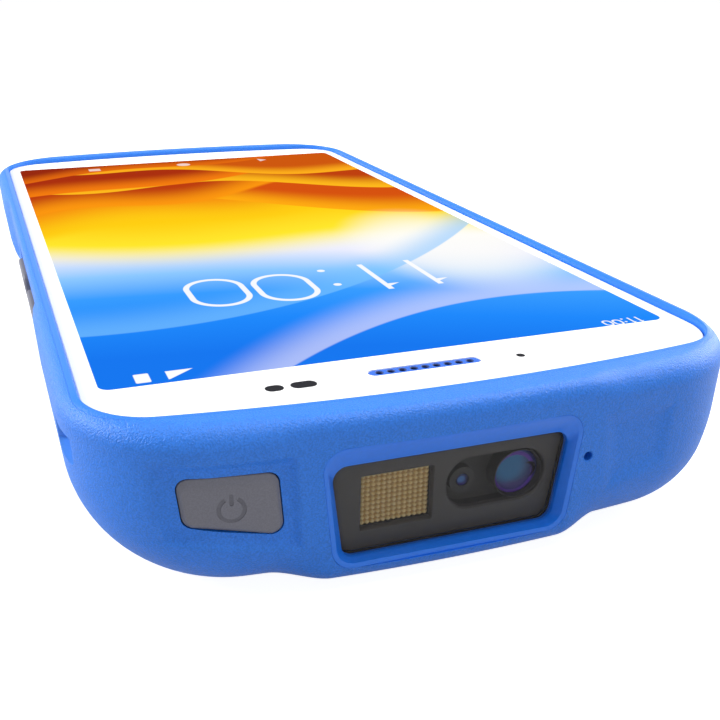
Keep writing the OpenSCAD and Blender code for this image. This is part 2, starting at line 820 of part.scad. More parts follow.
// Pressed cans over the radio, the processor and the power circuits
module shield_can(x, y, w, l) {
    color("lightgray") difference() {
        block([x - w / 2, y - l / 2, board_top_z], [x + w / 2, y + l / 2, board_top_z + can_h]);
        block(
            [x - w / 2 + can_wall, y - l / 2 + can_wall, board_top_z - 1],
            [x + w / 2 - can_wall, y + l / 2 - can_wall, board_top_z + can_h - 0.15]
        );
    }
}

module shield_cans() {
    shield_can(0, chip_y - 1, can_w, can_w);
    both_sides() shield_can((can_w + side_can_w) / 2 + can_gap, chip_y - 1, side_can_w, side_can_l);
    shield_can(0, low_can_y, low_can_w, low_can_l);
}

module board_screws() {
    for (p = board_screws_at) translate([p[0], p[1], board_low_z]) color("gainsboro") {
        translate([0, 0, -0.5]) difference() {
            cylinder(r = board_screw_r + 0.6, h = 0.5);
            translate([0, 0, -0.1]) cylinder(r = 0.5, h = 0.4, $fn = 6);
        }
        cylinder(r = board_screw_r, h = mid_low_z - board_low_z);
    }
}

module housing_screws() {
    for (p = screws) translate([p[0], p[1], screw_sink]) color("dimgray") difference() {
        union() {
            cylinder(r = screw_head_r, h = screw_head_h);
            cylinder(r = screw_r, h = mid_low_z - screw_sink);
        }
        translate([0, 0, -0.1]) cylinder(r = 0.9, h = 0.9, $fn = 6);
    }
}

// ---- Scanner ----

module window_bezel() {
    ring = window_line(0.1);
    outer = bezel_line(0);
    color("dodgerblue") difference() {
        intersection() {
            end_prism(outer, body_hl - bezel_depth, body_hl + 1);
            flat_prism(bowed(body_hw, body_hl, corner_r, 4, 12), 0, body_t);
        }
        skin([
            [for (p = outer) [p[0], body_hl + 0.02, p[1]]],
            [for (p = ring) [p[0], window_y, p[1]]]
        ]);
        end_prism(ring, body_hl - bezel_depth - 1, body_hl);
        end_prism(window_line(0.9), body_hl - bezel_depth - 1, window_y - window_t + 0.3);
    }
}

module exit_window() {
    color("dimgray", 0.5) {
        end_prism(window_line(0), window_y - window_t + 0.3, window_y);
        end_prism(window_line(0.8), window_y - window_t, window_y - window_t + 0.3);
    }
}

module window_gasket() {
    color("black") difference() {
        end_prism(window_line(0.8), face_y, window_y - window_t);
        end_prism(window_line(0.2), face_y - 1, window_y);
    }
}

// Dark front plate of the engine, with the lamp's square and the optics' stadium cut in it
module engine_face() {
    color("#333333") difference() {
        end_prism(window_line(0.15), face_y - 0.8, face_y);
        block(
            [lamp_x - lamp_w / 2, face_y - 2, lamp_z - lamp_h / 2],
            [lamp_x + lamp_w / 2, face_y + 1, lamp_z + lamp_h / 2]
        );
        end_prism(optics_line(), face_y - 2, face_y + 1);
    }
}

// Stadium round both lenses
function optics_line() = shift(rrect(optics_w, optics_h, optics_h / 2 - 0.1, 8), [optics_x, optics_z]);

// Cylinder along Y with its front at y
module y_rod(x, y, z, r, l) {
    translate([x, y, z]) rotate([90, 0, 0]) cylinder(r = r, h = l);
}

module engine_chassis() {
    color("#2a2a2a") difference() {
        union() {
            block(
                [window_x - engine_hw, face_y - 0.8 - engine_depth, engine_low_z],
                [window_x + engine_hw, face_y - 0.8, engine_top_z]
            );
            block(
                [window_x - engine_hw, face_y - 0.8 - engine_head, engine_low_z],
                [window_x + engine_hw, face_y - 0.8, board_top_z]
            );
        }
        block(
            [lamp_x - lamp_w / 2 - seat_gap, face_y - 4, lamp_z - lamp_h / 2 - seat_gap],
            [lamp_x + lamp_w / 2 + seat_gap, face_y, lamp_z + lamp_h / 2 + seat_gap]
        );
        difference() {
            end_prism(optics_line(), face_y - 0.8 - optics_depth, face_y);
            // Collar that holds the aimer lens
            y_rod(aimer_x, face_y, optics_z, collar_r, optics_depth + 1);
        }
        y_rod(imager_x, face_y, optics_z, imager_r + seat_gap, barrel_l + barrel_sink + seat_gap);
        y_rod(aimer_x, face_y, optics_z, aimer_r + seat_gap, 2.5 + seat_gap);
        for (s = [-1, 1]) translate([window_x + s * engine_screw_x, engine_screw_y, engine_top_z - 3])
            cylinder(r = board_screw_r + seat_gap, h = 4);
    }
}

module illumination_lens() {
    color("goldenrod") block(
        [lamp_x - lamp_w / 2, face_y - 1.6, lamp_z - lamp_h / 2],
        [lamp_x + lamp_w / 2, face_y - 0.8, lamp_z + lamp_h / 2]
    );
}

module illumination_leds() {
    color("khaki") for (s = [-1, 1]) block(
        [lamp_x + s * 1.9 - 0.8, face_y - 3.9, lamp_z - 0.8],
        [lamp_x + s * 1.9 + 0.8, face_y - 2.6, lamp_z + 0.8]
    );
}

module aimer_lens() {
    color("slateblue") y_rod(aimer_x, face_y - aimer_sink, optics_z, aimer_r, 1.5);
}

module imager_lens() {
    color("teal") y_rod(imager_x, face_y - barrel_sink - 0.15, optics_z, imager_r - barrel_t, 1.5);
}

module lens_barrel() {
    color("black") difference() {
        y_rod(imager_x, face_y - barrel_sink, optics_z, imager_r, barrel_l);
        y_rod(imager_x, face_y, optics_z, imager_r - barrel_t + lens_gap, barrel_l - 0.5);
    }
}

module engine_board() {
    y = face_y - 0.8 - engine_depth;
    color("seagreen") block(
        [window_x - engine_hw + 0.2, y - 0.8, engine_low_z + 0.2],
        [window_x + engine_hw - 0.2, y, engine_top_z - 0.4]
    );
}

module engine_flex() {
    y = face_y - 1.6 - engine_depth;
    color("darkorange") {
        block([window_x - 5, y - 0.25, engine_low_z + 2], [window_x + 5, y, board_low_z]);
        block([window_x - 5, y - 3, board_low_z - 0.7], [window_x + 5, y - 0.25, board_low_z]);
    }
}

module engine_screws() {
    for (s = [-1, 1])
        translate([window_x + s * engine_screw_x, engine_screw_y, board_top_z]) color("gainsboro") {
        difference() {
            cylinder(r = board_screw_r + 0.6, h = 0.5);
            translate([0, 0, 0.2]) cylinder(r = 0.5, h = 0.4, $fn = 6);
        }
        translate([0, 0, -3.6]) cylinder(r = board_screw_r, h = 3.6);
    }
}

// ---- Keys ----

// Shape of the end face d under its skin, for caps that follow it
module end_face(d) {
    flat_prism(bowed(body_hw - d, body_hl - d, corner_r - d), 0, body_t);
}

module power_button() {
    back = wall + key_gap + power_flange_t;
    tip_y = power_board_y + dome_t + power_travel + stop_gap;
    color("slategray") {
        difference() {
            union() {
                intersection() {
                    end_prism(power_line(0), power_board_y, body_hl + 1);
                    end_face(0.35);
                }
                intersection() {
                    end_prism(power_line(0.6), power_board_y, body_hl + 1);
                    end_face(wall + key_gap);
                }
            }
            end_face(back);
        }
        // Plunger down to the switch
        end_prism(shift(rrect(2.4, 2.4, 0.5), [power_x, power_mid_z]), tip_y, body_hl - back - 0.8);
    }
}

// Silicone collar behind the power button, round its plunger
module power_button_seal() {
    color("black") difference() {
        y_rod(power_x, power_board_y + 0.4, power_mid_z, 2.6, 0.4);
        y_rod(power_x, power_board_y + 1, power_mid_z, 1.9, 3);
    }
}

// Small switch board with its metal dome, drawn pressed
module power_switch() {
    color("seagreen") end_prism(
        shift(rrect(8.6, 5, 0.6), [power_x, power_mid_z]), power_board_y - 0.8, power_board_y
    );
    color("silver") y_rod(power_x, power_board_y + dome_t, power_mid_z, 1.7, dome_t);
}

// Side key, its face leaning in towards the back
module side_key(line, y) {
    top_z = key_z + key_h / 2;
    low_x = key_face_x - key_lean;
    color("slategray") {
        intersection() {
            side_prism(line[0], key_pocket_x - key_gap, body_hw);
            end_prism(
                [[0, 0], [low_x, 0], [low_x, top_z - key_h], [key_face_x, top_z], [0, top_z]],
                -body_hl, body_hl
            );
        }
        side_prism(line[1], key_pocket_x - key_gap - key_flange_t, key_pocket_x - key_gap);
        translate([key_pocket_x - key_gap - key_flange_t - 1, y, key_z]) rotate([0, 90, 0])
            cylinder(r = 1, h = 1);
    }
}

module long_key() {
    side_key([long_key_line(0), long_key_line(key_lip)], body_hl - long_key_y);
}

module short_key() {
    side_key([short_key_line(0), short_key_line(key_lip)], body_hl - short_key_y);
}

module right_long_key() { long_key(); }
module right_short_key() { short_key(); }
module left_long_key() { mirror([1, 0, 0]) long_key(); }
module left_short_key() { mirror([1, 0, 0]) short_key(); }

// Silicone strip on the switch board, open where the plungers pass
module key_seal() {
    color("black") difference() {
        side_prism(board_strip(4.4), key_board_x + 0.8, key_board_x + 0.8 + key_seal_t);
        for (y = [body_hl - long_key_y, body_hl - short_key_y])
            translate([key_board_x, y, key_z]) rotate([0, 90, 0]) cylinder(r = 1.9, h = 3);
    }
}

function board_strip(h) =
    shift(rrect(recess_top_y - recess_low_y - 7, h, 0.5), [(recess_top_y + recess_low_y) / 2, key_z]);

module key_board() {
    color("seagreen") side_prism(board_strip(4.6), key_board_x, key_board_x + 0.8);
    for (y = [body_hl - long_key_y, body_hl - short_key_y])
        color("silver") translate([key_board_x + 0.8, y, key_z]) rotate([0, 90, 0])
            cylinder(r = 1.7, h = dome_t);
}

module right_key_seal() { key_seal(); }
module right_key_board() { key_board(); }
module left_key_seal() { mirror([1, 0, 0]) key_seal(); }
module left_key_board() { mirror([1, 0, 0]) key_board(); }

// ---- Sound and sensors ----

module receiver_grille() {
    color("royalblue") translate([0, receiver_y, 0]) difference() {
        union() {
            flat_prism(slot_line(slot_l - 0.1, slot_w - 0.1), glass_low_z, glass_top_z - grille_sink);
            flat_prism(slot_line(slot_l + 1.4, slot_w + 1.4), glass_low_z - 0.5, glass_low_z);
        }
        for (i = [-4:4]) translate([i * 1.33, 0, glass_low_z - 2]) cylinder(r = 0.36, h = 5, $fn = 16);
    }
}

module receiver() {
    color("gray") translate([0, receiver_y, 0])
        flat_prism(rrect(14, 6.4, 1.2), mid_low_z + 0.1, glass_low_z - 0.6);
}

module top_microphone() {
    color("gold")
        block([mic_x - 2.4, body_hl - 7, board_low_z - 1.1], [mic_x + 0.7, body_hl - 4.2, board_low_z]);
}

module proximity_sensor() {
    color("black")
        block(
            [sensor_x - 3.4, sensor_y - 1.4, mid_top_z], [sensor_x + 3.4, sensor_y + 1.4, glass_low_z - 0.1]
        );
}

module notification_led() {
    color("white")
        block([led_x - 0.8, sensor_y - 0.8, mid_top_z], [led_x + 0.8, sensor_y + 0.8, glass_low_z - 0.1]);
}

module loudspeaker() {
    color("#222222") difference() {
        end_prism(shift(rrect(speaker_w, 5.4, 1), [speaker_x, speaker_z - 0.2]), speaker_y, speaker_y + 5.6);
        end_prism(
            shift(rrect(speaker_w - 2, 4, 0.8), [speaker_x, speaker_z]), speaker_y - 1, speaker_y + 0.8
        );
    }
}

module speaker_mesh() {
    color("black") end_prism(
        shift(rrect(speaker_w - 0.4, 4.8, 0.8), [speaker_x, speaker_z]), speaker_y - 0.4, speaker_y
    );
}

module bottom_microphone() {
    color("gold")
        block(
            [low_mic_x - 1.5, -body_hl + 4.4, board_low_z - 1.1],
            [low_mic_x + 1.5, -body_hl + 7.2, board_low_z]
        );
}

// ---- Ports and other electronics ----

module usb_receptacle() {
    y0 = -body_hl + 0.7;
    inside_w = usb_w - 2 * usb_wall;
    inside_h = usb_h - 2 * usb_wall;
    shell = shift(rrect(usb_w, usb_h, usb_h / 2 - eps, 8), [0, usb_z]);
    inside = shift(rrect(inside_w, inside_h, inside_h / 2 - eps, 8), [0, usb_z]);
    color("silver") difference() {
        end_prism(shell, y0, y0 + usb_l);
        end_prism(inside, y0 - 1, y0 + usb_l - 1);
    }
    color("black") block(
        [-usb_tongue_w / 2, y0 + 1, usb_z - usb_tongue_t / 2],
        [usb_tongue_w / 2, y0 + usb_l - 1, usb_z + usb_tongue_t / 2]
    );
}

module cradle_contacts() {
    for (s = [-1, 1]) color("gold") translate([s * contact_x, -body_hl + 5.4, usb_z]) rotate([90, 0, 0])
        cylinder(r = contact_r, h = 5);
}

module vibration_motor() {
    color("silver") translate([motor_x, -body_hl + 10.6, floor_low_z - 3]) cylinder(r = motor_r, h = motor_h);
}

// Antenna carriers in the lower end and beside the scan engine
module antennas() {
    color("saddlebrown") {
        block([low_antenna_x, -body_hl + 4.5, 6.4], [-contact_x - 2, -body_hl + 5.8, 8.9]);
        block([side_antenna_x, body_hl - 22, 5], [side_antenna_x + 3.5, body_hl - 17, 10.4]);
    }
}

module card_socket() {
    color("lightgray") translate([socket_x, bay_top_y + 14, 0])
        block(
            [-socket_w / 2, -socket_l / 2, board_low_z - socket_h], [socket_w / 2, socket_l / 2, board_low_z]
        );
}

module backup_battery() {
    color("gainsboro") translate([cell_x, bay_top_y + 11, board_low_z - cell_h])
        cylinder(r = cell_r, h = cell_h);
}

// Spring contacts that reach through the bay floor to the pack
module bay_contacts() {
    color("black") block(
        [-contacts_w / 2, contacts_y - contacts_l / 2, floor_low_z + 0.1],
        [contacts_w / 2, contacts_y + contacts_l / 2, board_low_z]
    );
    for (i = [-3:3]) color("gold") translate([i * 2.4, contacts_y, pack_t + 0.03]) cylinder(r = 0.5, h = 0.3);
}

module rear_camera() {
    color("#222222") translate([-camera_x, body_hl - camera_y, 0]) {
        translate([0, 0, 1.25]) cylinder(r = camera_window_r - 1.1, h = 2.4);
        block([-4.2, -4.2, 3.6], [4.2, 4.2, 7.4]);
    }
}

module camera_window() {
    color("black") translate([-camera_x, body_hl - camera_y, 0.15]) cylinder(r = camera_window_r, h = 0.85);
}

module flash_window() {
    color("ivory") translate([-camera_x, body_hl - camera_y - 9.5, 0.15]) cylinder(r = 1.9, h = 2.2);
}

// ---- Battery pack ----

module battery_case() {
    color("royalblue") difference() {
        union() {
            flat_prism(end_to_end(pack_hw, pack_low_y, pack_top_y), 0, pack_t);
            // Hooks at the lower end
            for (s = [-1, 1]) block(
                [s * hook_x - hook_w / 2, pack_low_y - hook_reach, hinge_r + 0.15],
                [s * hook_x + hook_w / 2, pack_low_y + 1, hinge_r + 1.85]
            );
        }
        // Round lower edge that the pack turns on
        difference() {
            block([-pack_hw - 1, pack_low_y - 1, -1], [pack_hw + 1, hinge_y, hinge_r]);
            translate([-pack_hw - 2, hinge_y, hinge_r]) rotate([0, 90, 0])
                cylinder(r = hinge_r, h = 2 * pack_hw + 4);
        }
        block(
            [-pack_hw + 8.2, pack_low_y + pack_wall + 1, pack_wall],
            [pack_hw - 8.2, pack_top_y - pack_wall, pack_t - pack_wall]
        );
        block(
            [-contacts_w / 2 + 0.2, contacts_y - contacts_l / 2, pack_t - pack_wall - 1],
            [contacts_w / 2 - 0.2, contacts_y + contacts_l / 2, pack_t + 1]
        );
        both_sides() {
            // Latch channel, open to the side, and the thumb opening in the back
            block(
                [pack_hw - latch_depth - spring_l, latch_y - latch_l / 2 - 0.15, lug_low_z - 0.15],
                [pack_hw + 1, latch_y + latch_l / 2 + 0.15, lug_top_z + 0.15]
            );
            block(
                [pack_hw - latch_depth - latch_travel, latch_y - finger_hw, -1],
                [pack_hw + 1, latch_y + finger_hw, lug_low_z]
            );
        }
    }
}

module battery_cell() {
    color("silver") block(
        [-pack_hw + 8.3, pack_low_y + pack_wall + 1.1, pack_wall + 0.1],
        [pack_hw - 8.3, pack_top_y - pack_wall - 8, pack_t - pack_wall - 0.1]
    );
}

module pack_terminals() {
    color("gold") block(
        [-contacts_w / 2 + 0.3, contacts_y - contacts_l / 2 + 0.1, pack_t - pack_wall - 0.5],
        [contacts_w / 2 - 0.3, contacts_y + contacts_l / 2 - 0.1, pack_t]
    );
}

// Latch with a thumb pad in the middle and a sloped lug at each end
module latch() {
    low = pack_hw + lug_reach - lug_slope * (lug_top_z - lug_low_z);
    color("dimgray") {
        block(
            [pack_hw - latch_depth, latch_y - latch_l / 2, lug_low_z],
            [pack_hw, latch_y + latch_l / 2, lug_top_z]
        );
        for (s = [-1, 1])
            translate([0, latch_y + s * (latch_l - lug_w) / 2 + lug_w / 2, 0]) rotate([90, 0, 0])
            linear_extrude(lug_w) polygon([
                [pack_hw - 1, lug_low_z],
                [low, lug_low_z],
                [pack_hw + lug_reach, lug_top_z],
                [pack_hw - 1, lug_top_z]
            ]);
        difference() {
            block(
                [pack_hw - latch_depth, latch_y - finger_hw + 0.3, 0.3],
                [pack_hw + 1, latch_y + finger_hw - 0.3, lug_top_z]
            );
            for (i = [-3:3]) block(
                [pack_hw + 0.7, latch_y + i * 1.5 - 0.35, -1],
                [pack_hw + 2, latch_y + i * 1.5 + 0.35, lug_top_z + 1]
            );
        }
    }
}

module latch_right() { latch(); }
module latch_left() { mirror([1, 0, 0]) latch(); }

// Coil springs behind the latches, drawn as sleeves of the coil's size
module latch_springs() {
    both_sides() for (s = [-1, 1])
        color("gray")
            translate([pack_hw - latch_depth - spring_l, latch_y + s * 6, (lug_low_z + lug_top_z) / 2])
            rotate([0, 90, 0]) difference() {
                cylinder(r = spring_r, h = spring_l);
                translate([0, 0, -1]) cylinder(r = spring_r - 0.3, h = spring_l + 2);
            }
}

rear_housing();
front_frame();
touch_glass();
glass_adhesive();
display_panel();
display_flex();
mid_frame();
main_board();
processor();
shield_cans();
board_screws();
housing_screws();
window_bezel();
window_gasket();
exit_window();
engine_chassis();
engine_face();
illumination_lens();
illumination_leds();
aimer_lens();
imager_lens();
lens_barrel();
engine_board();
engine_flex();
engine_screws();
power_button();
power_button_seal();
power_switch();
right_long_key();
right_short_key();
right_key_seal();
right_key_board();
left_long_key();
left_short_key();
left_key_seal();
left_key_board();
receiver_grille();
receiver();
top_microphone();
proximity_sensor();
notification_led();
loudspeaker();
speaker_mesh();
bottom_microphone();
usb_receptacle();
cradle_contacts();
vibration_motor();
antennas();
card_socket();
backup_battery();
bay_contacts();
rear_camera();
camera_window();
flash_window();
battery_case();
battery_cell();
pack_terminals();
latch_right();
latch_left();
latch_springs();
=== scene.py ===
"""Dresses the solids of a portable barcode data terminal: fine shapes, finishes and a studio."""

import math
from functools import cache

import bmesh
import bpy
import numpy as np
from bpy.props import FloatProperty, FloatVectorProperty, PointerProperty
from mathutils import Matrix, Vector


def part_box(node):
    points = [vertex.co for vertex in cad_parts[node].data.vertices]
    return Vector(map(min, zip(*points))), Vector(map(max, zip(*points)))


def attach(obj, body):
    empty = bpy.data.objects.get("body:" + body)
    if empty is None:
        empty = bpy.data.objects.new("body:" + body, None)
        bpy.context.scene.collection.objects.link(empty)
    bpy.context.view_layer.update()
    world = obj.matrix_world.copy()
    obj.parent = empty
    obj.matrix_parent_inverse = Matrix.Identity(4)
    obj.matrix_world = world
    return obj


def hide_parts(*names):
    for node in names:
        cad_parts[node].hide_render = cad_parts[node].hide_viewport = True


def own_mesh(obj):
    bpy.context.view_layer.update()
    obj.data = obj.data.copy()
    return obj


bl_info = {
    "name": "Barcode data terminal",
    "version": (1, 0, 0),
    "blender": (4, 5, 0),
    "location": "3D View > Sidebar > Terminal",
    "description": "Dresses the solids of a portable barcode data terminal",
    "category": "Object",
}

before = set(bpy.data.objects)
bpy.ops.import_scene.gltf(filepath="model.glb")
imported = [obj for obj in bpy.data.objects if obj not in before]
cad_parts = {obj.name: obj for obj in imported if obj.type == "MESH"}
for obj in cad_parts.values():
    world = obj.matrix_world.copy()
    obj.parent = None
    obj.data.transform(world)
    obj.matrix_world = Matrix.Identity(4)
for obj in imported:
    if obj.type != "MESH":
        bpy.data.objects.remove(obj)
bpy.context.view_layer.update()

MM = 0.001


# ---- Sizes in millimetres: from the solids where they show there, otherwise named here ----


def span(node):
    """Lowest and highest corner of one of the frame's nodes, in millimetres."""
    low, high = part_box(node)
    return np.array(low) / MM, np.array(high) / MM


shell_low, shell_high = span("rear_housing")
glass_low, glass_high = span("touch_glass")
ring_low, ring_high = span("front_frame")
panel_low, panel_high = span("display_panel")
barrel_low, barrel_high = span("lens_barrel")
lamp_low, lamp_high = span("illumination_lens")
aimer_low, aimer_high = span("aimer_lens")
grille_low, grille_high = span("receiver_grille")
receptacle_low, receptacle_high = span("usb_receptacle")
camera_low, camera_high = span("camera_window")
long_low, long_high = span("right_long_key")
short_low, short_high = span("right_short_key")
pack_high = span("battery_case")[1]

# A length too small to see, and the degrees past which an edge is sharp
HAIR = 0.001
SHARP = 35

HALF_W, HALF_L, THICK = 38.5, -shell_low[1], shell_high[2]
CORNER_R = 15
CORNER_WALL = 0.8
BOW_R = 215
SIDE_EDGE_R, END_EDGE_R = 2.3, 2.6
SIDE_BELLY_R, END_BELLY_R = 11.3, 7
SIDE_DRAFT = math.tan(math.radians(4))
DRAFT_TOP = THICK - 2
WALL = 1.8
SEAM = 0.02
SEAT_Z = ring_low[2]

GLASS_W, GLASS_L = glass_high[0], glass_high[1]
GLASS_CORNER_R = 7.4
GLASS_GAP = 0.15
LEDGE_W, LEDGE_T = 1.3, 0.3
FRAME_OUT = ring_high[0] - GLASS_W
FRAME_EDGE_R = 0.35
DIM_SIDE, DIM_TOP, DIM_FOOT = 0.5, 1, 2
LIT_W, LIT_TOP, LIT_LOW = panel_high[0] - DIM_SIDE, panel_high[1] - DIM_TOP, panel_low[1] + DIM_FOOT
SPOT_Y = LIT_TOP + 4.9

WINDOW = [(-10.45, 3.05), (12.95, 3.05), (14.35, 13.25), (-11.85, 13.25)]
BEZEL = [(-11.65, 2.4), (14.35, 2.4), (15.75, 15.75), (-13.05, 15.75)]
HOOD = [(-10.6, -4), (13.1, -4), (14.4, 2.5), (15.7, 15.6), (-13, 15.6), (-11.6, 2.5)]
WINDOW_R, BEZEL_R = 1.4, 2.4
WINDOW_Y = HALF_L - 1.4
WINDOW_FLANGE, WINDOW_STEP = 0.9, 0.7
BEZEL_BACK = HALF_L - 2.8
HOOD_LOW = 0.4
HOOD_EDGE_R = 2.5
FACE_Y = span("window_gasket")[0][1]
OPTICS = (-4.5, 8.3)
OPTICS_SIZE, OPTICS_R = (11.5, 5.85), 2.85
LENSLET_TIP, LENSLET_RISE = 0.06, 0.45
FAR_SCOOP = [(-24.6, 7.4), (-16.2, 5.2), (-15.2, 15.2), (-25.2, 14.9)]
FAR_SCOOP_DEPTH, FAR_SCOOP_BLEND = 0.35, 2.2
MIC, MIC_R = (-13.85, 10.4), 0.5

POWER = [(19.075, 7.05), (28.625, 8.8), (29.225, 13.85), (19.675, 13.85)]
POWER_R = 1.1
SCOOP_OUT, SCOOP_BLEND = 1.9, 1.2
POWER_MARK = (24.2, 10.55)
MARK_OUT, MARK_IN, MARK_GAP = 1.43, 1.03, 30
BAR_L, BAR_W, BAR_UP = 1.25, 0.4, 1.02
POWER_PLUNGER, PLUNGER_W = (24.45, 10.95), 2.4

KEY_Z = (long_low[2] + long_high[2]) / 2
LONG_KEY = ((long_low[1] + long_high[1]) / 2, 14)
SHORT_KEY = ((short_low[1] + short_high[1]) / 2, 11.5)
KEY_H, KEY_R = 4.4, 1.5
KEY_LEAN = 0.5
KEY_SEAT_X = HALF_W - 1.45
WAIST = (SHORT_KEY[0] - SHORT_KEY[1] / 2 - 25, LONG_KEY[0] + LONG_KEY[1] / 2 + 2)
WAIST_BLEND, WAIST_LEAN, WAIST_FOOT = 4, 0.8, 9
NOTCH = (HALF_L - 15.1, 13.9)
NOTCH_L, NOTCH_H = 7, 3

RECEIVER_Y = (grille_low[1] + grille_high[1]) / 2
RECEIVER_L, RECEIVER_W, RECEIVER_PLAY = 13.2, 1.64, 0.04
HOLES, HOLE_PITCH, HOLE_R = 9, 1.33, 0.36

PACK_R = 3
FOOT_L, HINGE_GAP = 18.5, 0.4
HINGE_EDGE = -HALF_L + FOOT_L + HINGE_GAP
BAY_W, BAY_TOP, BAY_LOW = pack_high[0] + 0.25, pack_high[1] + 0.35, HINGE_EDGE - HINGE_GAP
BAY_FLOOR = pack_high[2] + 0.2
BAY_WALL, BAY_ROOF, SHELF_T = 1.5, 1.2, 1.1
LATCH_Y = (span("latch_right")[0][1] + span("latch_right")[1][1]) / 2
LATCH_HALF_L, LATCH_TOP, SHELF_HALF_L = 6.2, 6.7, 11.5
SPRING_R, SPRING_REST, SPRING_WIRE, SPRING_APART = 1.3, 4.5, 0.16, 6
SCREWS = [(HALF_W - 12.3, HALF_L - 13), (HALF_W - 13.6, HALF_L - 42), (HALF_W - 14.3, -HALF_L + 12.7)]
SCREW_HEAD_R, SCREW_BORE_R, POST_R = 1.9, 1.1, 2.7

PORT_Z = (receptacle_low[2] + receptacle_high[2]) / 2
PORT_L, PORT_H = 9.24, 3.46
CONTACT_X, CONTACT_R, CONTACT_GAP = 9.5, 1.1, 0.05
LOW_MIC_X = -18
SPEAKER = (18.1, PORT_Z - 1.2)
SPEAKER_SLOTS, SPEAKER_PITCH = 6, 2.1
PINS, PIN_PITCH, PIN_W, PIN_T = 12, 0.5, 0.25, 0.04
CAMERA_BORE_R, FLASH_BORE_R, FLASH_BELOW = 3.7, 1.95, 9.5

# Lamps of the stage: place and width in millimetres, power in watts
LAMPS = {
    "key": ((-120, 60, 480), 300, 1.75),
    "side": ((420, -150, 230), 220, 2.6),
    "far side": ((-420, -60, 180), 240, 1.5),
    "front": ((60, 520, 220), 320, 0.5),
}
FLOOR_FAR, FLOOR_Z = 4.0, -0.0002
VIEW_FROM = (43.4, 150.65, 57.67)
VIEW_ALONG = (-0.29772, -0.87838, -0.37392)
SENSOR_W, LENS_LENGTH, LENS_SHIFT = 36, 48.70, 0.08


def paint(red, green, blue):
    """A colour as it is written, 0 to 255, as linear light."""
    shares = [(c, c / 255) for c in (red, green, blue)]
    return tuple((s / 12.92) if c < 11 else ((s + 0.055) / 1.055) ** 2.4 for c, s in shares)


class TerminalColours(bpy.types.PropertyGroup):
    """Colours of the terminal's finishes"""

    housing: FloatVectorProperty(
        name="Housing", description="Grained plastic of the housing", subtype="COLOR",
        default=paint(24, 122, 232),
    )
    trim: FloatVectorProperty(
        name="Trim", description="Smooth plastic of the front frame and bezel", subtype="COLOR",
        default=paint(22, 120, 238),
    )
    keys: FloatVectorProperty(
        name="Keys", description="Plastic of the keys and latches", subtype="COLOR",
        default=paint(112, 112, 122),
    )
    border: FloatVectorProperty(
        name="Glass border", description="Print under the touch glass", subtype="COLOR",
        default=paint(252, 252, 252),
    )
    lamp: FloatVectorProperty(
        name="Lamp lens", description="Fly-eye lens of the scanner's lamp", subtype="COLOR",
        default=paint(255, 222, 142),
    )


class TerminalSizes(bpy.types.PropertyGroup):
    """Sizes of the terminal's fine shapes"""

    hood_flare: FloatProperty(
        name="Hood flare", description="Width of the blend between hood and belly, in mm",
        default=6, min=3, max=8,
    )
    scoop_depth: FloatProperty(
        name="Scoop depth", description="Depth of the hollow round the power button, in mm",
        default=0.65, min=0.2, max=1,
    )
    waist: FloatProperty(
        name="Waist", description="Depth of the right flank's waist round the keys, in mm",
        default=0.8, min=0.4, max=0.9,
    )
    grain: FloatProperty(
        name="Grain", description="Size of the housing's moulded grain, in mm",
        default=0.19, min=0.1, max=1,
    )
    grain_depth: FloatProperty(
        name="Grain depth", description="Depth of the moulded grain, in mm",
        default=0.11, min=0, max=0.3,
    )
    edge: FloatProperty(
        name="Edge", description="Radius of the broken edges of small pieces, in mm",
        default=0.12, min=0.02, max=0.3,
    )


# ---- Outlines, in millimetres, counterclockwise ----


def arc(x, y, r, start, end, steps):
    a = np.radians(np.linspace(start, end, steps + 1))
    return np.stack([x + r * np.cos(a), y + r * np.sin(a)], 1)


def bowed(half_w, half_l, r, corner=10, top=30, low=30, side=1):
    """Straight sides, bowed ends and round corners."""
    x = half_w - r
    reach = math.sqrt((BOW_R - r) ** 2 - x * x)
    y = half_l - BOW_R + reach
    a = math.degrees(math.atan2(reach, x))
    sides = np.linspace(y, -y, side + 1)[1:-1]
    return np.vstack([
        arc(x, y, r, 0, a, corner), arc(0, half_l - BOW_R, BOW_R, a, 180 - a, top)[1:-1],
        arc(-x, y, r, 180 - a, 180, corner), np.stack([np.full(len(sides), -half_w), sides], 1),
        arc(-x, -y, r, 180, 180 + a, corner), arc(0, BOW_R - half_l, BOW_R, 180 + a, 360 - a, low)[1:-1],
        arc(x, -y, r, 360 - a, 360, corner), np.stack([np.full(len(sides), half_w), -sides], 1),
    ])


def rounded(corners, r, steps=8):
    """A convex polygon with every corner rounded."""
    corners = np.array(corners, float)
    out = []
    for before, here, after in zip(np.roll(corners, 1, 0), corners, np.roll(corners, -1, 0)):
        u, v = (before - here) / np.linalg.norm(before - here), (after - here) / np.linalg.norm(after - here)
        half = math.acos(np.clip(u @ v, -1, 1)) / 2
        middle = here + (u + v) / np.linalg.norm(u + v) * r / math.sin(half)
        first, last = here + u * r / math.tan(half) - middle, here + v * r / math.tan(half) - middle
        a, b = math.degrees(math.atan2(first[1], first[0])), math.degrees(math.atan2(last[1], last[0]))
        out.append(arc(*middle, r, a, b + 360 if b < a else b, steps))
    return np.vstack(out)


def grown(corners, d):
    """A four-sided outline with each corner moved out by d both ways."""
    corners = np.array(corners, float)
    return corners + np.sign(corners - corners.mean(0)) * d


def box_line(x, y, w, h, r, steps=8):
    right, up = w / 2, h / 2
    corners = [(x - right, y - up), (x + right, y - up), (x + right, y + up), (x - right, y + up)]
    return rounded(corners, r, steps)


def slot_line(x, y, length, width):
    return box_line(x, y, length, width, width / 2 - HAIR, 12)


def disc(x, y, r, steps=48):
    return arc(x, y, r, 0, 360, steps)[:-1]


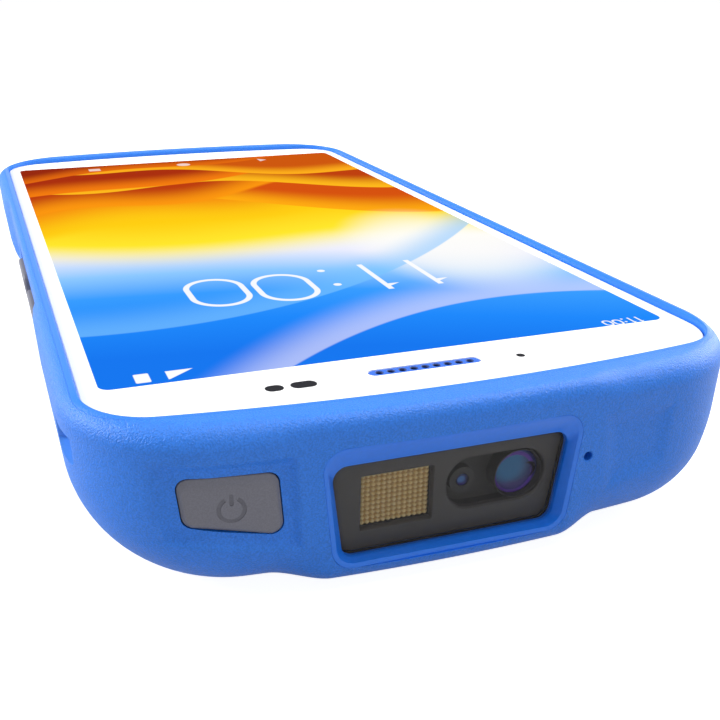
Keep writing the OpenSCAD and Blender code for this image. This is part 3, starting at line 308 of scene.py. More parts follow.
def glass_line(d, **counts):
    return bowed(GLASS_W + d, GLASS_L + d, GLASS_CORNER_R + d, **counts)


def window_line(d):
    return rounded(grown(WINDOW, d), WINDOW_R + d)


def bezel_line(d):
    return rounded(grown(BEZEL, d), BEZEL_R + d)


def power_line(d):
    return rounded(grown(POWER, d), POWER_R + d)


def key_line(key, d):
    return box_line(key[0], KEY_Z, key[1] + 2 * d, KEY_H + 2 * d, KEY_R + d)


def pack_line(d):
    y, length = (pack_high[1] + HINGE_EDGE) / 2, pack_high[1] - HINGE_EDGE
    return box_line(0, y, 2 * (pack_high[0] + d), length + 2 * d, PACK_R, 10)


def round_in(r, depth):
    """Distance from a round's end plane to its arc, at a depth into it."""
    return 0 if depth >= r else r - math.sqrt(max(r * r - (r - depth) ** 2, 0))


def side_in(z, w=0):
    """How far the sides stand in at a height, w inside the skin."""
    edge, belly = round_in(SIDE_EDGE_R, THICK - z), round_in(SIDE_BELLY_R - w, z - w)
    return w + edge + belly + SIDE_DRAFT * max(0, DRAFT_TOP - z)


def end_in(z, w=0):
    """How far the two ends stand in at a height, w inside the skin."""
    return w + round_in(END_EDGE_R, THICK - z) + round_in(END_BELLY_R - w, z - w)


def level(z, w=0, **counts):
    """The housing's outline at a height, w inside its skin."""
    a, b = side_in(z, w), end_in(z, w)
    return stand(bowed(HALF_W - a, HALF_L - b, CORNER_R - (a + b) / 2, **counts), z)


def end_y(x, d=0, z=None):
    """Where the scanner end stands at x, d under its skin: bowed, and round at the corners."""
    x = np.abs(np.asarray(x, float))
    a, b = (side_in(z), end_in(z)) if z is not None else (0, 0)
    r = CORNER_R - (a + b) / 2 - d
    across, low = HALF_W - a - d - r, HALF_L - b - d - BOW_R
    bow = low + np.sqrt(BOW_R ** 2 - x ** 2)
    turn = low + math.sqrt((BOW_R - r) ** 2 - across ** 2)
    turn = turn + np.sqrt(np.clip(r * r - (x - across) ** 2, 0, None))
    return np.where(x > across * BOW_R / (BOW_R - r), turn, bow)


def on_end(outline, d=0):
    """An outline of the scanner end laid d under its skin."""
    return np.array([(x, float(end_y(x, d, z)), z) for x, z in outline])


def frame_line(d, **counts):
    """Outer outline of the front frame, which leaves a wall at the housing's corners."""
    line = glass_line(FRAME_OUT + d, **counts)
    limit = bowed(*(s - CORNER_WALL + d for s in (HALF_W, HALF_L, CORNER_R)), 60, 200, 200)
    turn, far = np.arctan2(limit[:, 1], limit[:, 0]), np.linalg.norm(limit, axis=1)
    order = np.argsort(turn)
    here = np.linalg.norm(line, axis=1)
    most = np.interp(np.arctan2(line[:, 1], line[:, 0]), turn[order], far[order], period=2 * math.pi)
    return line * (np.minimum(here, most) / here)[:, None]


def outside(points, corners):
    """Distance of points to a convex outline, negative inside it."""
    corners = np.array(corners, float)
    far, inside = np.full(len(points), 1e9), np.full(len(points), True)
    for a, b in zip(corners, np.roll(corners, -1, 0)):
        edge = b - a
        t = np.clip((points - a) @ edge / (edge @ edge), 0, 1)
        far = np.minimum(far, np.linalg.norm(points - a - t[:, None] * edge, axis=1))
        inside &= edge[0] * (points - a)[:, 1] - edge[1] * (points - a)[:, 0] > 0
    return np.where(inside, -far, far)


def ease(t):
    t = np.clip(t, 0, 1)
    return t * t * (3 - 2 * t)


# ---- Meshes ----


def stand(outline, w, axis="Z"):
    """An outline as points in space: its own two coordinates, and w along the named axis."""
    w = np.broadcast_to(w, len(outline))
    u, v = outline[:, 0], outline[:, 1]
    return np.stack({"Z": (u, v, w), "Y": (u, w, v), "X": (w, u, v)}[axis], 1)


def skin(rings, closed=False):
    """Vertices and faces of a skin through rings of equal length, with caps unless it closes on itself."""
    rings = np.array(rings)
    count, n = rings.shape[:2]
    i = np.arange(n)
    faces = []
    for k in range(count if closed else count - 1):
        a, b = k * n, (k + 1) % count * n
        faces += np.stack([a + i, a + (i + 1) % n, b + (i + 1) % n, b + i], 1).tolist()
    if not closed:
        faces += [list(range(n))[::-1], list(range((count - 1) * n, count * n))]
    return rings.reshape(-1, 3), faces


def plate(outline, steps, axis="Z", closed=False):
    """A skin whose rings are outline(d) at w, for each (d, w) in steps."""
    return skin([stand(outline(d), w, axis) for d, w in steps], closed)


def broken(low, high, r_low, r_high, steps=4):
    """Steps for a plate from low to high with rounded edges."""
    turn = np.radians(np.linspace(0, 90, steps + 1))
    return [(-r_low * (1 - math.sin(a)), low + r_low * (1 - math.cos(a))) for a in turn] + [
        (-r_high * (1 - math.sin(a)), high - r_high * (1 - math.cos(a))) for a in turn[::-1]
    ]


def prism(points, low, high, axis="Z"):
    return skin([stand(points, w, axis) for w in (low, high)])


def brick(low, high):
    middle, size = np.add(low, high) / 2, np.subtract(high, low)
    return prism(box_line(*middle[:2], *size[:2], HAIR, 1), low[2], high[2])


def rod(centre, r, low, high, axis="Z"):
    return prism(disc(*centre, r, 40), low, high, axis)


def mirrored(shell):
    points, faces = shell
    return points * (-1, 1, 1), [f[::-1] for f in faces]


def both_sides(*shells):
    return [*shells, *(mirrored(s) for s in shells)]


def shape(name, shells, *finishes):
    """A mesh object from one or more closed shells, its faces turned outwards."""
    points, faces = [], []
    for shell_points, shell_faces in shells:
        offset = sum(len(p) for p in points)
        points.append(shell_points)
        faces += [[offset + i for i in f] for f in shell_faces]
    mesh = bpy.data.meshes.new(name)
    mesh.from_pydata(np.vstack(points) * MM, [], faces)
    bm = bmesh.new()
    bm.from_mesh(mesh)
    bmesh.ops.recalc_face_normals(bm, faces=bm.faces)
    bm.to_mesh(mesh)
    bm.free()
    for finish in finishes:
        mesh.materials.append(finish)
    obj = bpy.data.objects.new(name, mesh)
    bpy.context.scene.collection.objects.link(obj)
    return obj


def settle(obj):
    """Puts the result of an object's modifiers in its mesh and takes them off."""
    bpy.context.view_layer.update()
    mesh = bpy.data.meshes.new_from_object(obj.evaluated_get(bpy.context.evaluated_depsgraph_get()))
    obj.modifiers.clear()
    old, obj.data = obj.data, mesh
    bpy.data.meshes.remove(old)
    mesh.name = obj.name
    return obj


def carve(obj, *cutters, operation="DIFFERENCE"):
    """Cuts each cutter out of obj and removes it. Cut faces take the cutter's finish, if it has one."""
    for cutter in cutters:
        boolean = obj.modifiers.new("cut", "BOOLEAN")
        boolean.operation, boolean.solver, boolean.object = operation, "MANIFOLD", cutter
        boolean.material_mode = "TRANSFER"
    settle(obj)
    for cutter in cutters:
        bpy.data.objects.remove(cutter)
    return obj


def tool(*shells, finish=None):
    """A cutter for carve."""
    return shape("cutter", shells, *([finish] if finish else []))


def place(obj, body="terminal", stands_for=(), sharp=SHARP):
    """Shades a finished piece, gives it to its body and hides the solids that it stands for."""
    obj.data.shade_smooth()
    obj.data.set_sharp_from_angle(angle=math.radians(sharp))
    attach(obj, body)
    if stands_for:
        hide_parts(*stands_for)
    return obj


def refined(node, finish, edge, body="terminal"):
    """A node's own solid with its edges broken, in its finish."""
    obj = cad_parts[node].copy()
    obj.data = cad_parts[node].data.copy()
    obj.name = node + "_fine"
    obj.parent = None
    for key in list(obj.keys()):
        del obj[key]
    bpy.context.scene.collection.objects.link(obj)
    bm = bmesh.new()
    bm.from_mesh(obj.data)
    bmesh.ops.remove_doubles(bm, verts=bm.verts, dist=1e-6)
    bmesh.ops.dissolve_limit(bm, angle_limit=math.radians(1), verts=bm.verts, edges=bm.edges)
    bm.to_mesh(obj.data)
    bm.free()
    obj.data.materials.clear()
    obj.data.materials.append(finish)
    bevel = obj.modifiers.new("edges", "BEVEL")
    bevel.width, bevel.segments, bevel.limit_method = edge * MM, 2, "ANGLE"
    bevel.angle_limit = math.radians(SHARP)
    bevel.use_clamp_overlap = True
    settle(obj)
    return place(obj, body, (node,))


# ---- Node trees ----


class Wire:
    """A node's output in an expression on values: each operator adds a Math node."""

    def __init__(self, nodes, socket):
        self.nodes, self.socket = nodes, socket

    def math(self, operation, *values):
        sockets = {f"_{i}": value for i, value in enumerate(values)}
        return self.nodes.make("ShaderNodeMath", {"operation": operation}, **sockets)

    def __add__(self, other):
        return self.math("ADD", self, other)

    def __sub__(self, other):
        return self.math("SUBTRACT", self, other)

    def __rsub__(self, other):
        return self.math("SUBTRACT", other, self)

    def __mul__(self, other):
        return self.math("MULTIPLY", self, other)

    def __truediv__(self, other):
        return self.math("DIVIDE", self, other)

    def __abs__(self):
        return self.math("ABSOLUTE", self)

    __radd__, __rmul__ = __add__, __mul__

    def sin(self):
        return self.math("SINE", self)

    def root(self):
        return self.math("SQRT", self)

    def high(self, other):
        return self.math("MAXIMUM", self, other)

    def low(self, other):
        return self.math("MINIMUM", self, other)

    def ramp(self, low, high):
        """0 below low, 1 above high, and a soft step between them."""
        settings = {"interpolation_type": "SMOOTHSTEP"}
        return self.nodes.make("ShaderNodeMapRange", settings, _0=self, _1=low, _2=high)


class Nodes:
    """The nodes of one tree. make() adds any node: its settings first, then its sockets' values or links."""

    def __init__(self, tree):
        self.tree = tree
        tree.nodes.clear()

    def make(self, kind, settings=None, out=0, **sockets):
        node = self.tree.nodes.new(kind)
        for key, value in (settings or {}).items():
            if key == "stops":
                ramp = node.color_ramp.elements
                while len(ramp) < len(value):
                    ramp.new(0.5)
                for element, (position, colour) in zip(ramp, value):
                    element.position, element.color = position, (*colour, 1)
            else:
                setattr(node, key, value)
        for key, value in sockets.items():
            socket = node.inputs[int(key[1:])] if key[0] == "_" else node.inputs[key.replace("_", " ")]
            if isinstance(value, Wire):
                self.tree.links.new(value.socket, socket)
                continue
            colour = hasattr(socket.default_value, "__len__") and len(socket.default_value) == 4
            socket.default_value = (*value, 1) if colour and len(value) == 3 else value
        return Wire(self, node.outputs[out]) if node.outputs else node

    def mix(self, share, a, b):
        """Colour a where share is 0, b where it is 1."""
        return self.make("ShaderNodeMix", {"data_type": "RGBA"}, out=2, _0=share, _6=a, _7=b)

    def place(self):
        """X, Y and Z of a point of the object, in millimetres."""
        where = self.make("ShaderNodeTexCoord", out="Object")
        apart = self.make("ShaderNodeSeparateXYZ", Vector=where).socket.node
        return [Wire(self, s) * (1 / MM) for s in apart.outputs]

    def noise(self, size, detail=2.0, roughness=0.5, stretch=None):
        """Noise with features of a size in millimetres, 0 to 1."""
        where = self.make("ShaderNodeTexCoord", out="Object")
        if stretch:
            where = self.make("ShaderNodeMapping", Vector=where, Scale=stretch)
        scale = 1 / (size * MM)
        return self.make("ShaderNodeTexNoise", Vector=where, Scale=scale, Detail=detail, Roughness=roughness)

    def bump(self, height, depth):
        """A normal from a height of 0 to 1, with its depth in millimetres."""
        return self.make("ShaderNodeBump", Height=height, Distance=depth * MM)

    def surface(self, **sockets):
        shader = self.make("ShaderNodeBsdfPrincipled", **sockets)
        self.make("ShaderNodeOutputMaterial", Surface=shader)


# ---- Finishes: each is made at its first use and shared after that ----


def material(name):
    """A new material of this name and its empty node tree."""
    mat = bpy.data.materials.new(name)
    mat.use_nodes = True
    return mat, Nodes(mat.node_tree)


@cache
def moulded(name, colour, rough, grain, depth, vary=0.06, coat=0.0):
    """Grained plastic: mottled colour and gloss, with the tool's texture as a bump."""
    mat, n = material(name)
    fine, wide = n.noise(grain, 2, 0.5), n.noise(grain * 60, 2)
    dark = tuple(c * (1 - 2 * vary) for c in colour)
    pale = tuple(min(c * (1 + vary) + 0.12 * vary, 1) for c in colour)
    n.surface(
        Base_Color=n.mix(fine.ramp(0.32, 0.68) * 0.8 + wide * 0.2, dark, pale),
        Roughness=rough + fine * 0.12 + wide * 0.05,
        Normal=n.bump(fine, depth),
        Coat_Weight=coat,
        Coat_Roughness=0.25,
        IOR=1.5,
    )
    return mat


@cache
def metal(name, colour, rough, streak=(1, 1, 1), size=0.4):
    """Bare or plated metal with fine tooling marks."""
    mat, n = material(name)
    marks, wear = n.noise(size, 4, 0.7, streak), n.noise(6, 2)
    dark = tuple(c * 0.72 for c in colour)
    n.surface(
        Base_Color=n.mix(wear * 0.6 + marks * 0.3, colour, dark), Metallic=1.0,
        Roughness=rough + marks * 0.14 + wear * 0.08, Normal=n.bump(marks, 0.008),
    )
    return mat


def housing_finish():
    looks, fine = bpy.context.scene.terminal_colours, bpy.context.scene.terminal_sizes
    return moulded("grained blue plastic", tuple(looks.housing), rough=0.38, grain=fine.grain,
                   depth=fine.grain_depth, vary=0.1)


def trim_finish():
    trim = tuple(bpy.context.scene.terminal_colours.trim)
    return moulded("smooth blue plastic", trim, rough=0.3, grain=0.5, depth=0.002, vary=0.02, coat=0.15)


@cache
def frame_finish():
    """The front frame: smooth beside the glass, with the housing's grain and colour round the two ends."""
    mat, n = material("front frame plastic")
    looks, fine = bpy.context.scene.terminal_colours, bpy.context.scene.terminal_sizes
    y = n.place()[1]
    end, grain = abs(y).ramp(60, 68), n.noise(fine.grain, 2, 0.5)
    grained = n.mix(grain.ramp(0.3, 0.7), tuple(c * 0.88 for c in looks.housing), tuple(looks.housing))
    n.surface(
        Base_Color=n.mix(end, tuple(looks.trim), grained), Roughness=0.32 + end * (0.1 + grain * 0.12),
        Normal=n.bump(grain * end, fine.grain_depth), IOR=1.5,
    )
    return mat


# Painted highlight: the notch's smooth faces take a paler blue than the housing's, for the sheen they catch
def notch_sheen_finish():
    return moulded("polished blue plastic", paint(90, 156, 236), rough=0.3, grain=0.5, depth=0.002, vary=0.02)


def grille_finish():
    return moulded("grille plastic", paint(14, 96, 206), rough=0.35, grain=0.3, depth=0.002, vary=0.02)


# Painted shade: the cut walls of the receiver grille's holes take a dark blue for the shade inside them
def hole_shade_finish():
    return moulded("shaded blue plastic", paint(12, 44, 110), rough=0.5, grain=0.2, depth=0.004)


def key_finish():
    keys = tuple(bpy.context.scene.terminal_colours.keys)
    return moulded("grey key plastic", keys, rough=0.45, grain=0.16, depth=0.008, vary=0.05)


def mark_finish():
    return moulded("engraved grey", paint(99, 99, 108), rough=0.6, grain=0.16, depth=0.01, vary=0.05)


def black_finish():
    return moulded("black plastic", paint(44, 43, 42), rough=0.55, grain=0.2, depth=0.012, vary=0.1)


def engine_finish():
    return moulded("engine plastic", paint(80, 78, 75), rough=0.6, grain=0.18, depth=0.01, vary=0.06)


def rubber_finish():
    return moulded("silicone", paint(30, 30, 33), rough=0.72, grain=0.4, depth=0.006, vary=0.08)


def diffuser_finish():
    return moulded("frosted diffuser", paint(236, 234, 222), rough=0.35, grain=0.5, depth=0.02, vary=0.03)


def carrier_finish():
    return moulded("antenna carrier", paint(118, 86, 58), rough=0.6, grain=0.3, depth=0.01, vary=0.08)


def phosphor_finish():
    return moulded("lamp phosphor", paint(226, 200, 90), rough=0.5, grain=0.2, depth=0.01, vary=0.05)


def steel_finish():
    return metal("plated steel", paint(176, 178, 182), rough=0.25, streak=(1, 6, 1))


def black_steel_finish():
    return metal("blackened steel", paint(70, 70, 74), rough=0.32)


def gold_finish():
    return metal("gold plating", paint(224, 184, 96), rough=0.2)


def foil_finish():
    return metal("cell foil", paint(196, 198, 204), rough=0.3)


def alloy_finish():
    return metal("cast alloy", paint(150, 152, 156), rough=0.5, size=0.8)


@cache
def board_finish():
    """Solder mask over copper tracks, with bare pads."""
    mat, n = material("circuit board")
    x, y, _ = n.place()
    tracks = (x * 2.1).sin().high((y * 1.7).sin()).ramp(0.86, 0.94)
    pads = n.noise(1.6, 0).ramp(0.66, 0.68)
    green = n.mix(tracks, paint(10, 74, 44), paint(26, 112, 66))
    n.surface(
        Base_Color=n.mix(pads, green, paint(206, 178, 110)), Metallic=pads * 0.8,
        Roughness=0.45 - pads * 0.2, Normal=n.bump(tracks + pads, 0.03),
    )
    return mat


@cache
def flex_finish():
    """Film with copper lines along the piece."""
    mat, n = material("flex circuit")
    lines = (n.place()[0] * 9).sin().ramp(0.2, 0.5)
    n.surface(
        Base_Color=n.mix(lines, paint(150, 84, 22), paint(204, 132, 48)), Roughness=0.38 + lines * 0.1,
        Normal=n.bump(lines, 0.02),
    )
    return mat


# Dark spots of the glass over the sensors: x, half the width and half the height
SPOTS = ((17.05, 1, 0.78), (13.9, 1.42, 0.84), (-11.3, 0.5, 0.5))


@cache
def glass_finish():
    """Touch glass: a white print all round, the lit picture within it and dark spots over the sensors."""
    mat, n = material("printed glass")
    x, y, _ = n.place()
    lit = box_mask(x, y, 0, (LIT_TOP + LIT_LOW) / 2, LIT_W, (LIT_TOP - LIT_LOW) / 2, 1.3)
    dark = None
    for spot_x, half_w, half_h in SPOTS:
        spot = box_mask(x, y, spot_x, SPOT_Y, half_w, half_h, half_h - 0.01)
        dark = spot if dark is None else dark.high(spot)
    white = tuple(bpy.context.scene.terminal_colours.border)
    wear = n.noise(9, 3)
    n.surface(
        Base_Color=n.mix(lit, n.mix(dark, white, paint(46, 46, 50)), paint(8, 9, 11)),
        Emission_Color=n.mix(lit, (0, 0, 0), picture(n, x, y)), Emission_Strength=1.0,
        Roughness=0.08 + wear * 0.05, Specular_IOR_Level=0.0,
    )
    return mat


# Ribbons of the picture, from the top: height at the middle, slope, swing, wave length, phase, depth of the
# shade, softness of the edge, and the colours at the edge and deep down
RIBBONS = [
    (10, -0.16, 5, 30, 0.4, 24, 7, (255, 236, 44), (255, 205, 0)),
    (-10, 0.22, 4, 17, 2.1, 20, 3, (255, 204, 6), (246, 140, 0)),
    (-19, -0.4, 6, 26, 3.6, 16, 0.4, (255, 170, 4), (214, 80, 0)),
    (-27, 0.3, 4, 15, 0.9, 15, 1.2, (252, 150, 0), (188, 58, 0)),
    (-34, -0.22, 5, 19, 5.1, 14, 0.3, (255, 186, 20), (190, 62, 0)),
    (-43, 0.36, 4, 23, 1.7, 12, 0.5, (244, 124, 0), (170, 44, 0)),
    (-49, -0.3, 3, 14, 4.2, 10, 0.3, (255, 176, 20), (206, 86, 0)),
    (-57, 0.26, 3, 18, 2.8, 9, 0.4, (226, 104, 0), (150, 36, 0)),
]


# The picture's sky: height as a share of the display, and colour
SKY = [
    (0.50, (255, 246, 180)), (0.56, (255, 253, 246)), (0.65, (236, 238, 255)), (0.74, (140, 200, 255)),
    (0.82, (54, 156, 255)), (0.91, (26, 136, 252)), (1.0, (16, 118, 240)),
]

# The picture's two glares: height at the middle, bend and colour
GLARES = ((50, 0.012, (214, 222, 255)), (36, -0.009, (120, 196, 255)))


def picture(n, x, y):
    """Colour of the picture: warm ribbons under a pale glow and a blue sky, with plain clock digits."""
    height = (y - LIT_LOW) / (LIT_TOP - LIT_LOW)
    drift = height + x * 0.0022 + (x / 16 + 1.3).sin() * 0.02
    stops = [(at, paint(*shade)) for at, shade in SKY]
    colour = n.make("ShaderNodeValToRGB", {"stops": stops}, Fac=drift)
    for low, slope, swing, wave, phase, depth, soft, pale, deep in RIBBONS:
        under = low + x * slope + (x / wave * 2 + phase).sin() * swing - y
        shade = n.mix(under.ramp(0, depth), paint(*pale), paint(*deep))
        colour = n.mix(under.ramp(-soft, soft), colour, shade)
    glow = ((x + 24) * (x + 24) / 260 + (y - 20) * (y - 20) / 700).ramp(1, 0)
    colour = n.mix(glow * 0.8, colour, paint(255, 254, 250))
    for top, bend, glare in GLARES:
        sweep = y - top - x * 0.5 - x * x * bend
        colour = n.mix(sweep.ramp(-11, 0) * sweep.ramp(0.5, 0) * 0.6, colour, paint(*glare))
    marks = digits(x, y).high(icons(x, y))
    return n.mix(marks, colour, paint(255, 255, 255))


@cache
def picture_finish():
    """The lit display under the glass."""
    mat, n = material("lit display")
    x, y, _ = n.place()
    n.surface(
        Base_Color=paint(6, 7, 9), Roughness=0.3 + n.noise(5) * 0.05, Emission_Color=picture(n, x, y),
        Emission_Strength=1.0,
    )
    return mat


def box_mask(x, y, mid_x, mid_y, half_w, half_h, r=0.0, hollow=0.0):
    """1 inside a box with round corners, or on its line where it is hollow."""
    across, up = (abs(x - mid_x) - (half_w - r)), (abs(y - mid_y) - (half_h - r))
    if r:
        right, over = across.high(0), up.high(0)
        far = (right * right + over * over).root() + across.high(up).low(0) - r
    else:
        far = across.high(up)
    if hollow:
        far = abs(far + hollow / 2) - hollow / 2
    return far.ramp(0.06, -0.06)


def clock(x, y, left, low, tall, line):
    """A clock's 11:00, its left end and foot at a place. Its proportions are shares of the digits' height."""
    mid = low + tall / 2
    ring = tall * 0.345
    mask = None
    for at in (left + tall * 0.07, left + tall * 0.68):
        bar = box_mask(x, y, at, mid, line / 2, tall / 2)
        slant = x + (y - low - tall * 0.86) * -1.6
        flag = box_mask(slant, y, at - tall * 0.02, low + tall * 0.88, line, tall * 0.075)
        flag = flag * (at - x).ramp(-line / 2, 0)
        mask = bar.high(flag) if mask is None else mask.high(bar).high(flag)
    for at in (low + tall * 0.1, low + tall * 0.66):
        mask = mask.high(box_mask(x, y, left + tall * 1.2, at, line * 0.7, line * 0.7, line * 0.69))
    for at, up in ((left + tall * 1.79, 0.56), (left + tall * 2.555, 0.5)):
        mask = mask.high(box_mask(x, y, at, low + tall * up, ring, tall / 2, ring - 0.01, line))
    return mask


def digits(x, y):
    """The large clock, a little see-through, and the small one in the corner."""
    big = clock(x, y, left=-15.6, low=25.6, tall=11.9, line=0.8) * 0.92
    return big.high(clock(x, y, left=-31.1, low=57.35, tall=1.75, line=0.24))


def icons(x, y):
    """Battery and signal marks at the top, and three navigation marks at the foot."""
    top, foot = 57.2, LIT_LOW + 4.3
    battery = box_mask(x, y, 29.3, top, 0.8, 1.2, 0.2)
    wedge = box_mask(x, y, 25.2, top, 1.5, 1.1) * (x - 23.7 - (y - top + 1.1) * 1.3).ramp(-0.1, 0.1)
    square = box_mask(x, y, 19, foot, 1.2, 1.2, 0.2)
    circle = box_mask(x, y, 0, foot, 1.45, 1.45, 1.44)
    side = (1.5 - abs(y - foot)) * 1.2 - 1.5
    arrow = box_mask(x, y, -18.4, foot, 1.5, 1.5) * (x + 18.4 + side).ramp(-0.1, 0.1)
    return battery.high(wedge).high(square.high(circle).high(arrow) * 0.6)


@cache
def window_finish():
    """Clear window with a thin smoked film."""
    mat, n = material("smoked window")
    film = n.noise(4, 3)
    n.surface(
        Base_Color=paint(60, 58, 56), Alpha=0.12 + film * 0.03, Roughness=0.04 + film * 0.04, IOR=1.5,
    )
    mat.surface_render_method = "BLENDED"
    return mat


@cache
def lamp_finish():
    """Moulded gold lenslets: bright on their flanks, with painted shade that darkens the grooves between
    them.
    """
    mat, n = material("gold lenslets")
    y = n.place()[1]
    gold = tuple(bpy.context.scene.terminal_colours.lamp)
    # Painted shade: further back from the lenslets' tips the gold turns dark brown (150, 104, 44), where
    # shade falls in the grooves
    depth = (lamp_high[1] + 0.25 - y).ramp(0.05, 0.4)
    fleck = n.noise(0.35, 2, 0.6)
    n.surface(
        Base_Color=n.mix(depth * 0.7, n.mix(fleck, gold, paint(255, 244, 200)), paint(150, 104, 44)),
        Roughness=0.3 + fleck * 0.2,
    )
    return mat


@cache
def lens_finish(name, middle, r, inner, outer):
    """Coated lens: a tinted ring and a black rim, with a painted reflection for its pale core, painted shade
    over its lower part and a painted shadow in a dark crescent, each a little off centre.
    """
    mat, n = material(name)
    x, _, z = n.place()
    wear = n.noise(0.8)

    def away(dx, dz):
        across, up = x - (middle[0] + dx * r), z - (middle[1] + dz * r)
        return (across * across + up * up).root() / r

    # Painted reflection: a pale core up and to one side of the middle, fading to navy away from it
    glow = n.mix(away(0.35, 0.35).ramp(0.35, 1.0), paint(*inner), paint(40, 46, 104))
    # Painted shade: the part below the middle turns dark violet
    lower = n.mix((z - middle[1] + 0.35 * r).ramp(0.12 * r, -0.12 * r) * 0.75, glow, paint(58, 40, 118))
    ring = away(0.12, 0).ramp(0.7, 0.76) * away(0.12, 0).ramp(0.92, 0.84)
    tinted = n.mix(ring, lower, paint(*outer))
    # Painted shadow: a dark crescent on one side
    crescent_shadow = away(-0.5, 0.05).ramp(0.36, 0.3) * away(-0.3, 0).ramp(0.3, 0.38)
    tinted = n.mix(crescent_shadow, tinted, paint(24, 22, 32))
    n.surface(
        Base_Color=n.mix(away(0, 0).ramp(0.9, 0.98), tinted, paint(26, 26, 28)),
        Roughness=0.16 + wear * 0.06, Specular_IOR_Level=0.3,
    )
    return mat


@cache
def mesh_finish():
    """Woven cloth over the loudspeaker."""
    mat, n = material("speaker cloth")
    x, _, z = n.place()
    weave = (x * 20).sin().high((z * 20).sin())
    n.surface(
        Base_Color=n.mix(weave.ramp(0, 0.9), paint(10, 10, 10), paint(48, 48, 50)), Roughness=0.8,
        Normal=n.bump(weave, 0.05),
    )
    return mat


@cache
def black_glass_finish():
    """Camera window: black print with a clear middle over the lens."""
    mat, n = material("black glass")
    x, y, _ = n.place()
    across = x - (camera_low[0] + camera_high[0]) / 2
    up = y - (camera_low[1] + camera_high[1]) / 2
    far = (across * across + up * up).root()
    core = far.ramp(1.2, 1)
    ring = far.ramp(1.5, 1.6) * far.ramp(2.5, 2.4)
    tint = n.mix(ring, paint(8, 8, 10), paint(24, 26, 34))
    n.surface(
        Base_Color=n.mix(core, tint, paint(26, 34, 74)), Roughness=0.05 + n.noise(3) * 0.04,
        Coat_Weight=1.0, Coat_Roughness=0.02,
    )
    return mat


# ---- Geometry Nodes ----


def tree_of(name, sizes):
    """A Geometry Nodes tree with named inputs. finish_tree puts a Set Material node at its end."""
    tree = bpy.data.node_groups.new(name, "GeometryNodeTree")
    tree.interface.new_socket("Geometry", in_out="OUTPUT", socket_type="NodeSocketGeometry")
    for label, (kind, default) in sizes.items():
        socket = tree.interface.new_socket(label, in_out="INPUT", socket_type=kind)
        if default is not None:
            socket.default_value = default
    nodes = Nodes(tree)
    group = nodes.make("NodeGroupInput").socket.node
    return tree, nodes, {s.name: Wire(nodes, s) for s in group.outputs if s.name}


def grown_from(name, tree, values):
    """The plain mesh object that a Geometry Nodes tree makes with these input values."""
    obj = bpy.data.objects.new(name, bpy.data.meshes.new(name))
    bpy.context.scene.collection.objects.link(obj)
    modifier = obj.modifiers.new("shape", "NODES")
    modifier.node_group = tree
    for item in tree.interface.items_tree:
        if item.in_out == "INPUT" and item.name in values:
            modifier[item.identifier] = values[item.name]
    return settle(obj)


def finish_tree(nodes, geometry, finish):
    real = nodes.make("GeometryNodeRealizeInstances", _0=geometry)
    nodes.make("NodeGroupOutput", _0=nodes.make("GeometryNodeSetMaterial", _0=real, _2=finish))


def copies_of(nodes, points, thing):
    """A copy of an object at each of some points."""
    copy = nodes.make("GeometryNodeObjectInfo", out="Geometry", _0=thing)
    return nodes.make("GeometryNodeInstanceOnPoints", _0=points, _2=copy)


def cutter_row(name, cutter, count, pitch, middle, finish):
    """A row of copies of a cutter along x, about a middle."""
    tree, n, at = tree_of(name, {
        "Cutter": ("NodeSocketObject", None), "Count": ("NodeSocketInt", count),
        "Pitch": ("NodeSocketFloat", pitch * MM), "Middle": ("NodeSocketFloat", middle * MM),
    })
    start = n.make("ShaderNodeCombineXYZ", _0=at["Middle"] + at["Pitch"] * (1 - at["Count"]) / 2)
    step = n.make("ShaderNodeCombineXYZ", _0=at["Pitch"])
    line = n.make("GeometryNodeMeshLine", Count=at["Count"], Start_Location=start, Offset=step)
    finish_tree(n, copies_of(n, line, at["Cutter"]), finish)
    row = grown_from("cutter", tree, {"Cutter": cutter})
    bpy.data.objects.remove(cutter)
    return row


# ---- Pieces ----


def end_levels():
    """Heights of the housing's rings: by angle in the rounds, evenly between them."""
    low = [END_BELLY_R * (1 - math.sin(math.radians(a))) for a in (90, 87, 84, 81, 78)]
    foot = [HOOD_LOW + s for s in (0, 0.02, 0.06, 0.13, 0.24, 0.38, 0.55)]
    even = np.arange(HOOD_LOW + 0.75, THICK - END_EDGE_R, 0.2)
    edge = [THICK - END_EDGE_R * (1 - math.sin(math.radians(a))) for a in np.linspace(0, 85, 18)]
    return sorted(z for z in [*low, *foot, *even, *edge, THICK - HAIR] if z < THICK)


def shape_end(points, flare, depth):
    """Blends the hood into the scanner end and presses in the hollows by the power button and microphone."""
    x, y, z = points.T
    near = y > HALF_L - 2 * END_BELLY_R
    face = np.stack([x, z], 1)
    front = end_y(np.clip(x, -HALF_W, HALF_W))
    edge = np.array([round_in(HOOD_EDGE_R, max(h - HOOD_LOW, 0)) for h in z])
    lift = np.clip(front - edge - y, 0, None) * ease(1 - outside(face, HOOD) / flare) * (z >= HOOD_LOW)
    press = depth * ease(-outside(face, grown(POWER, SCOOP_OUT)) / SCOOP_BLEND)
    press += FAR_SCOOP_DEPTH * ease(-outside(face, FAR_SCOOP) / FAR_SCOOP_BLEND)
    return np.stack([x, np.where(near, y + lift - press, y), z], 1)


def waisted(points, depth):
    """Presses the waist that the right keys stand in into the right flank, deeper towards the back."""
    x, y, z = points.T
    low, high = WAIST
    top = THICK - SIDE_EDGE_R
    lean = WAIST_LEAN * np.clip((top - z) / (top - WAIST_FOOT), 0, 1)
    limit = HALF_W - (depth + lean) * ease(1 - np.maximum(low - y, y - high) / WAIST_BLEND)
    over = x - limit
    pressed = limit + (over - np.sqrt(over * over + 0.02)) / 2
    by_keys = (y > low - WAIST_BLEND) & (y < high + WAIST_BLEND) & (x > 0)
    return np.stack([np.where(by_keys, pressed, x), y, z], 1)


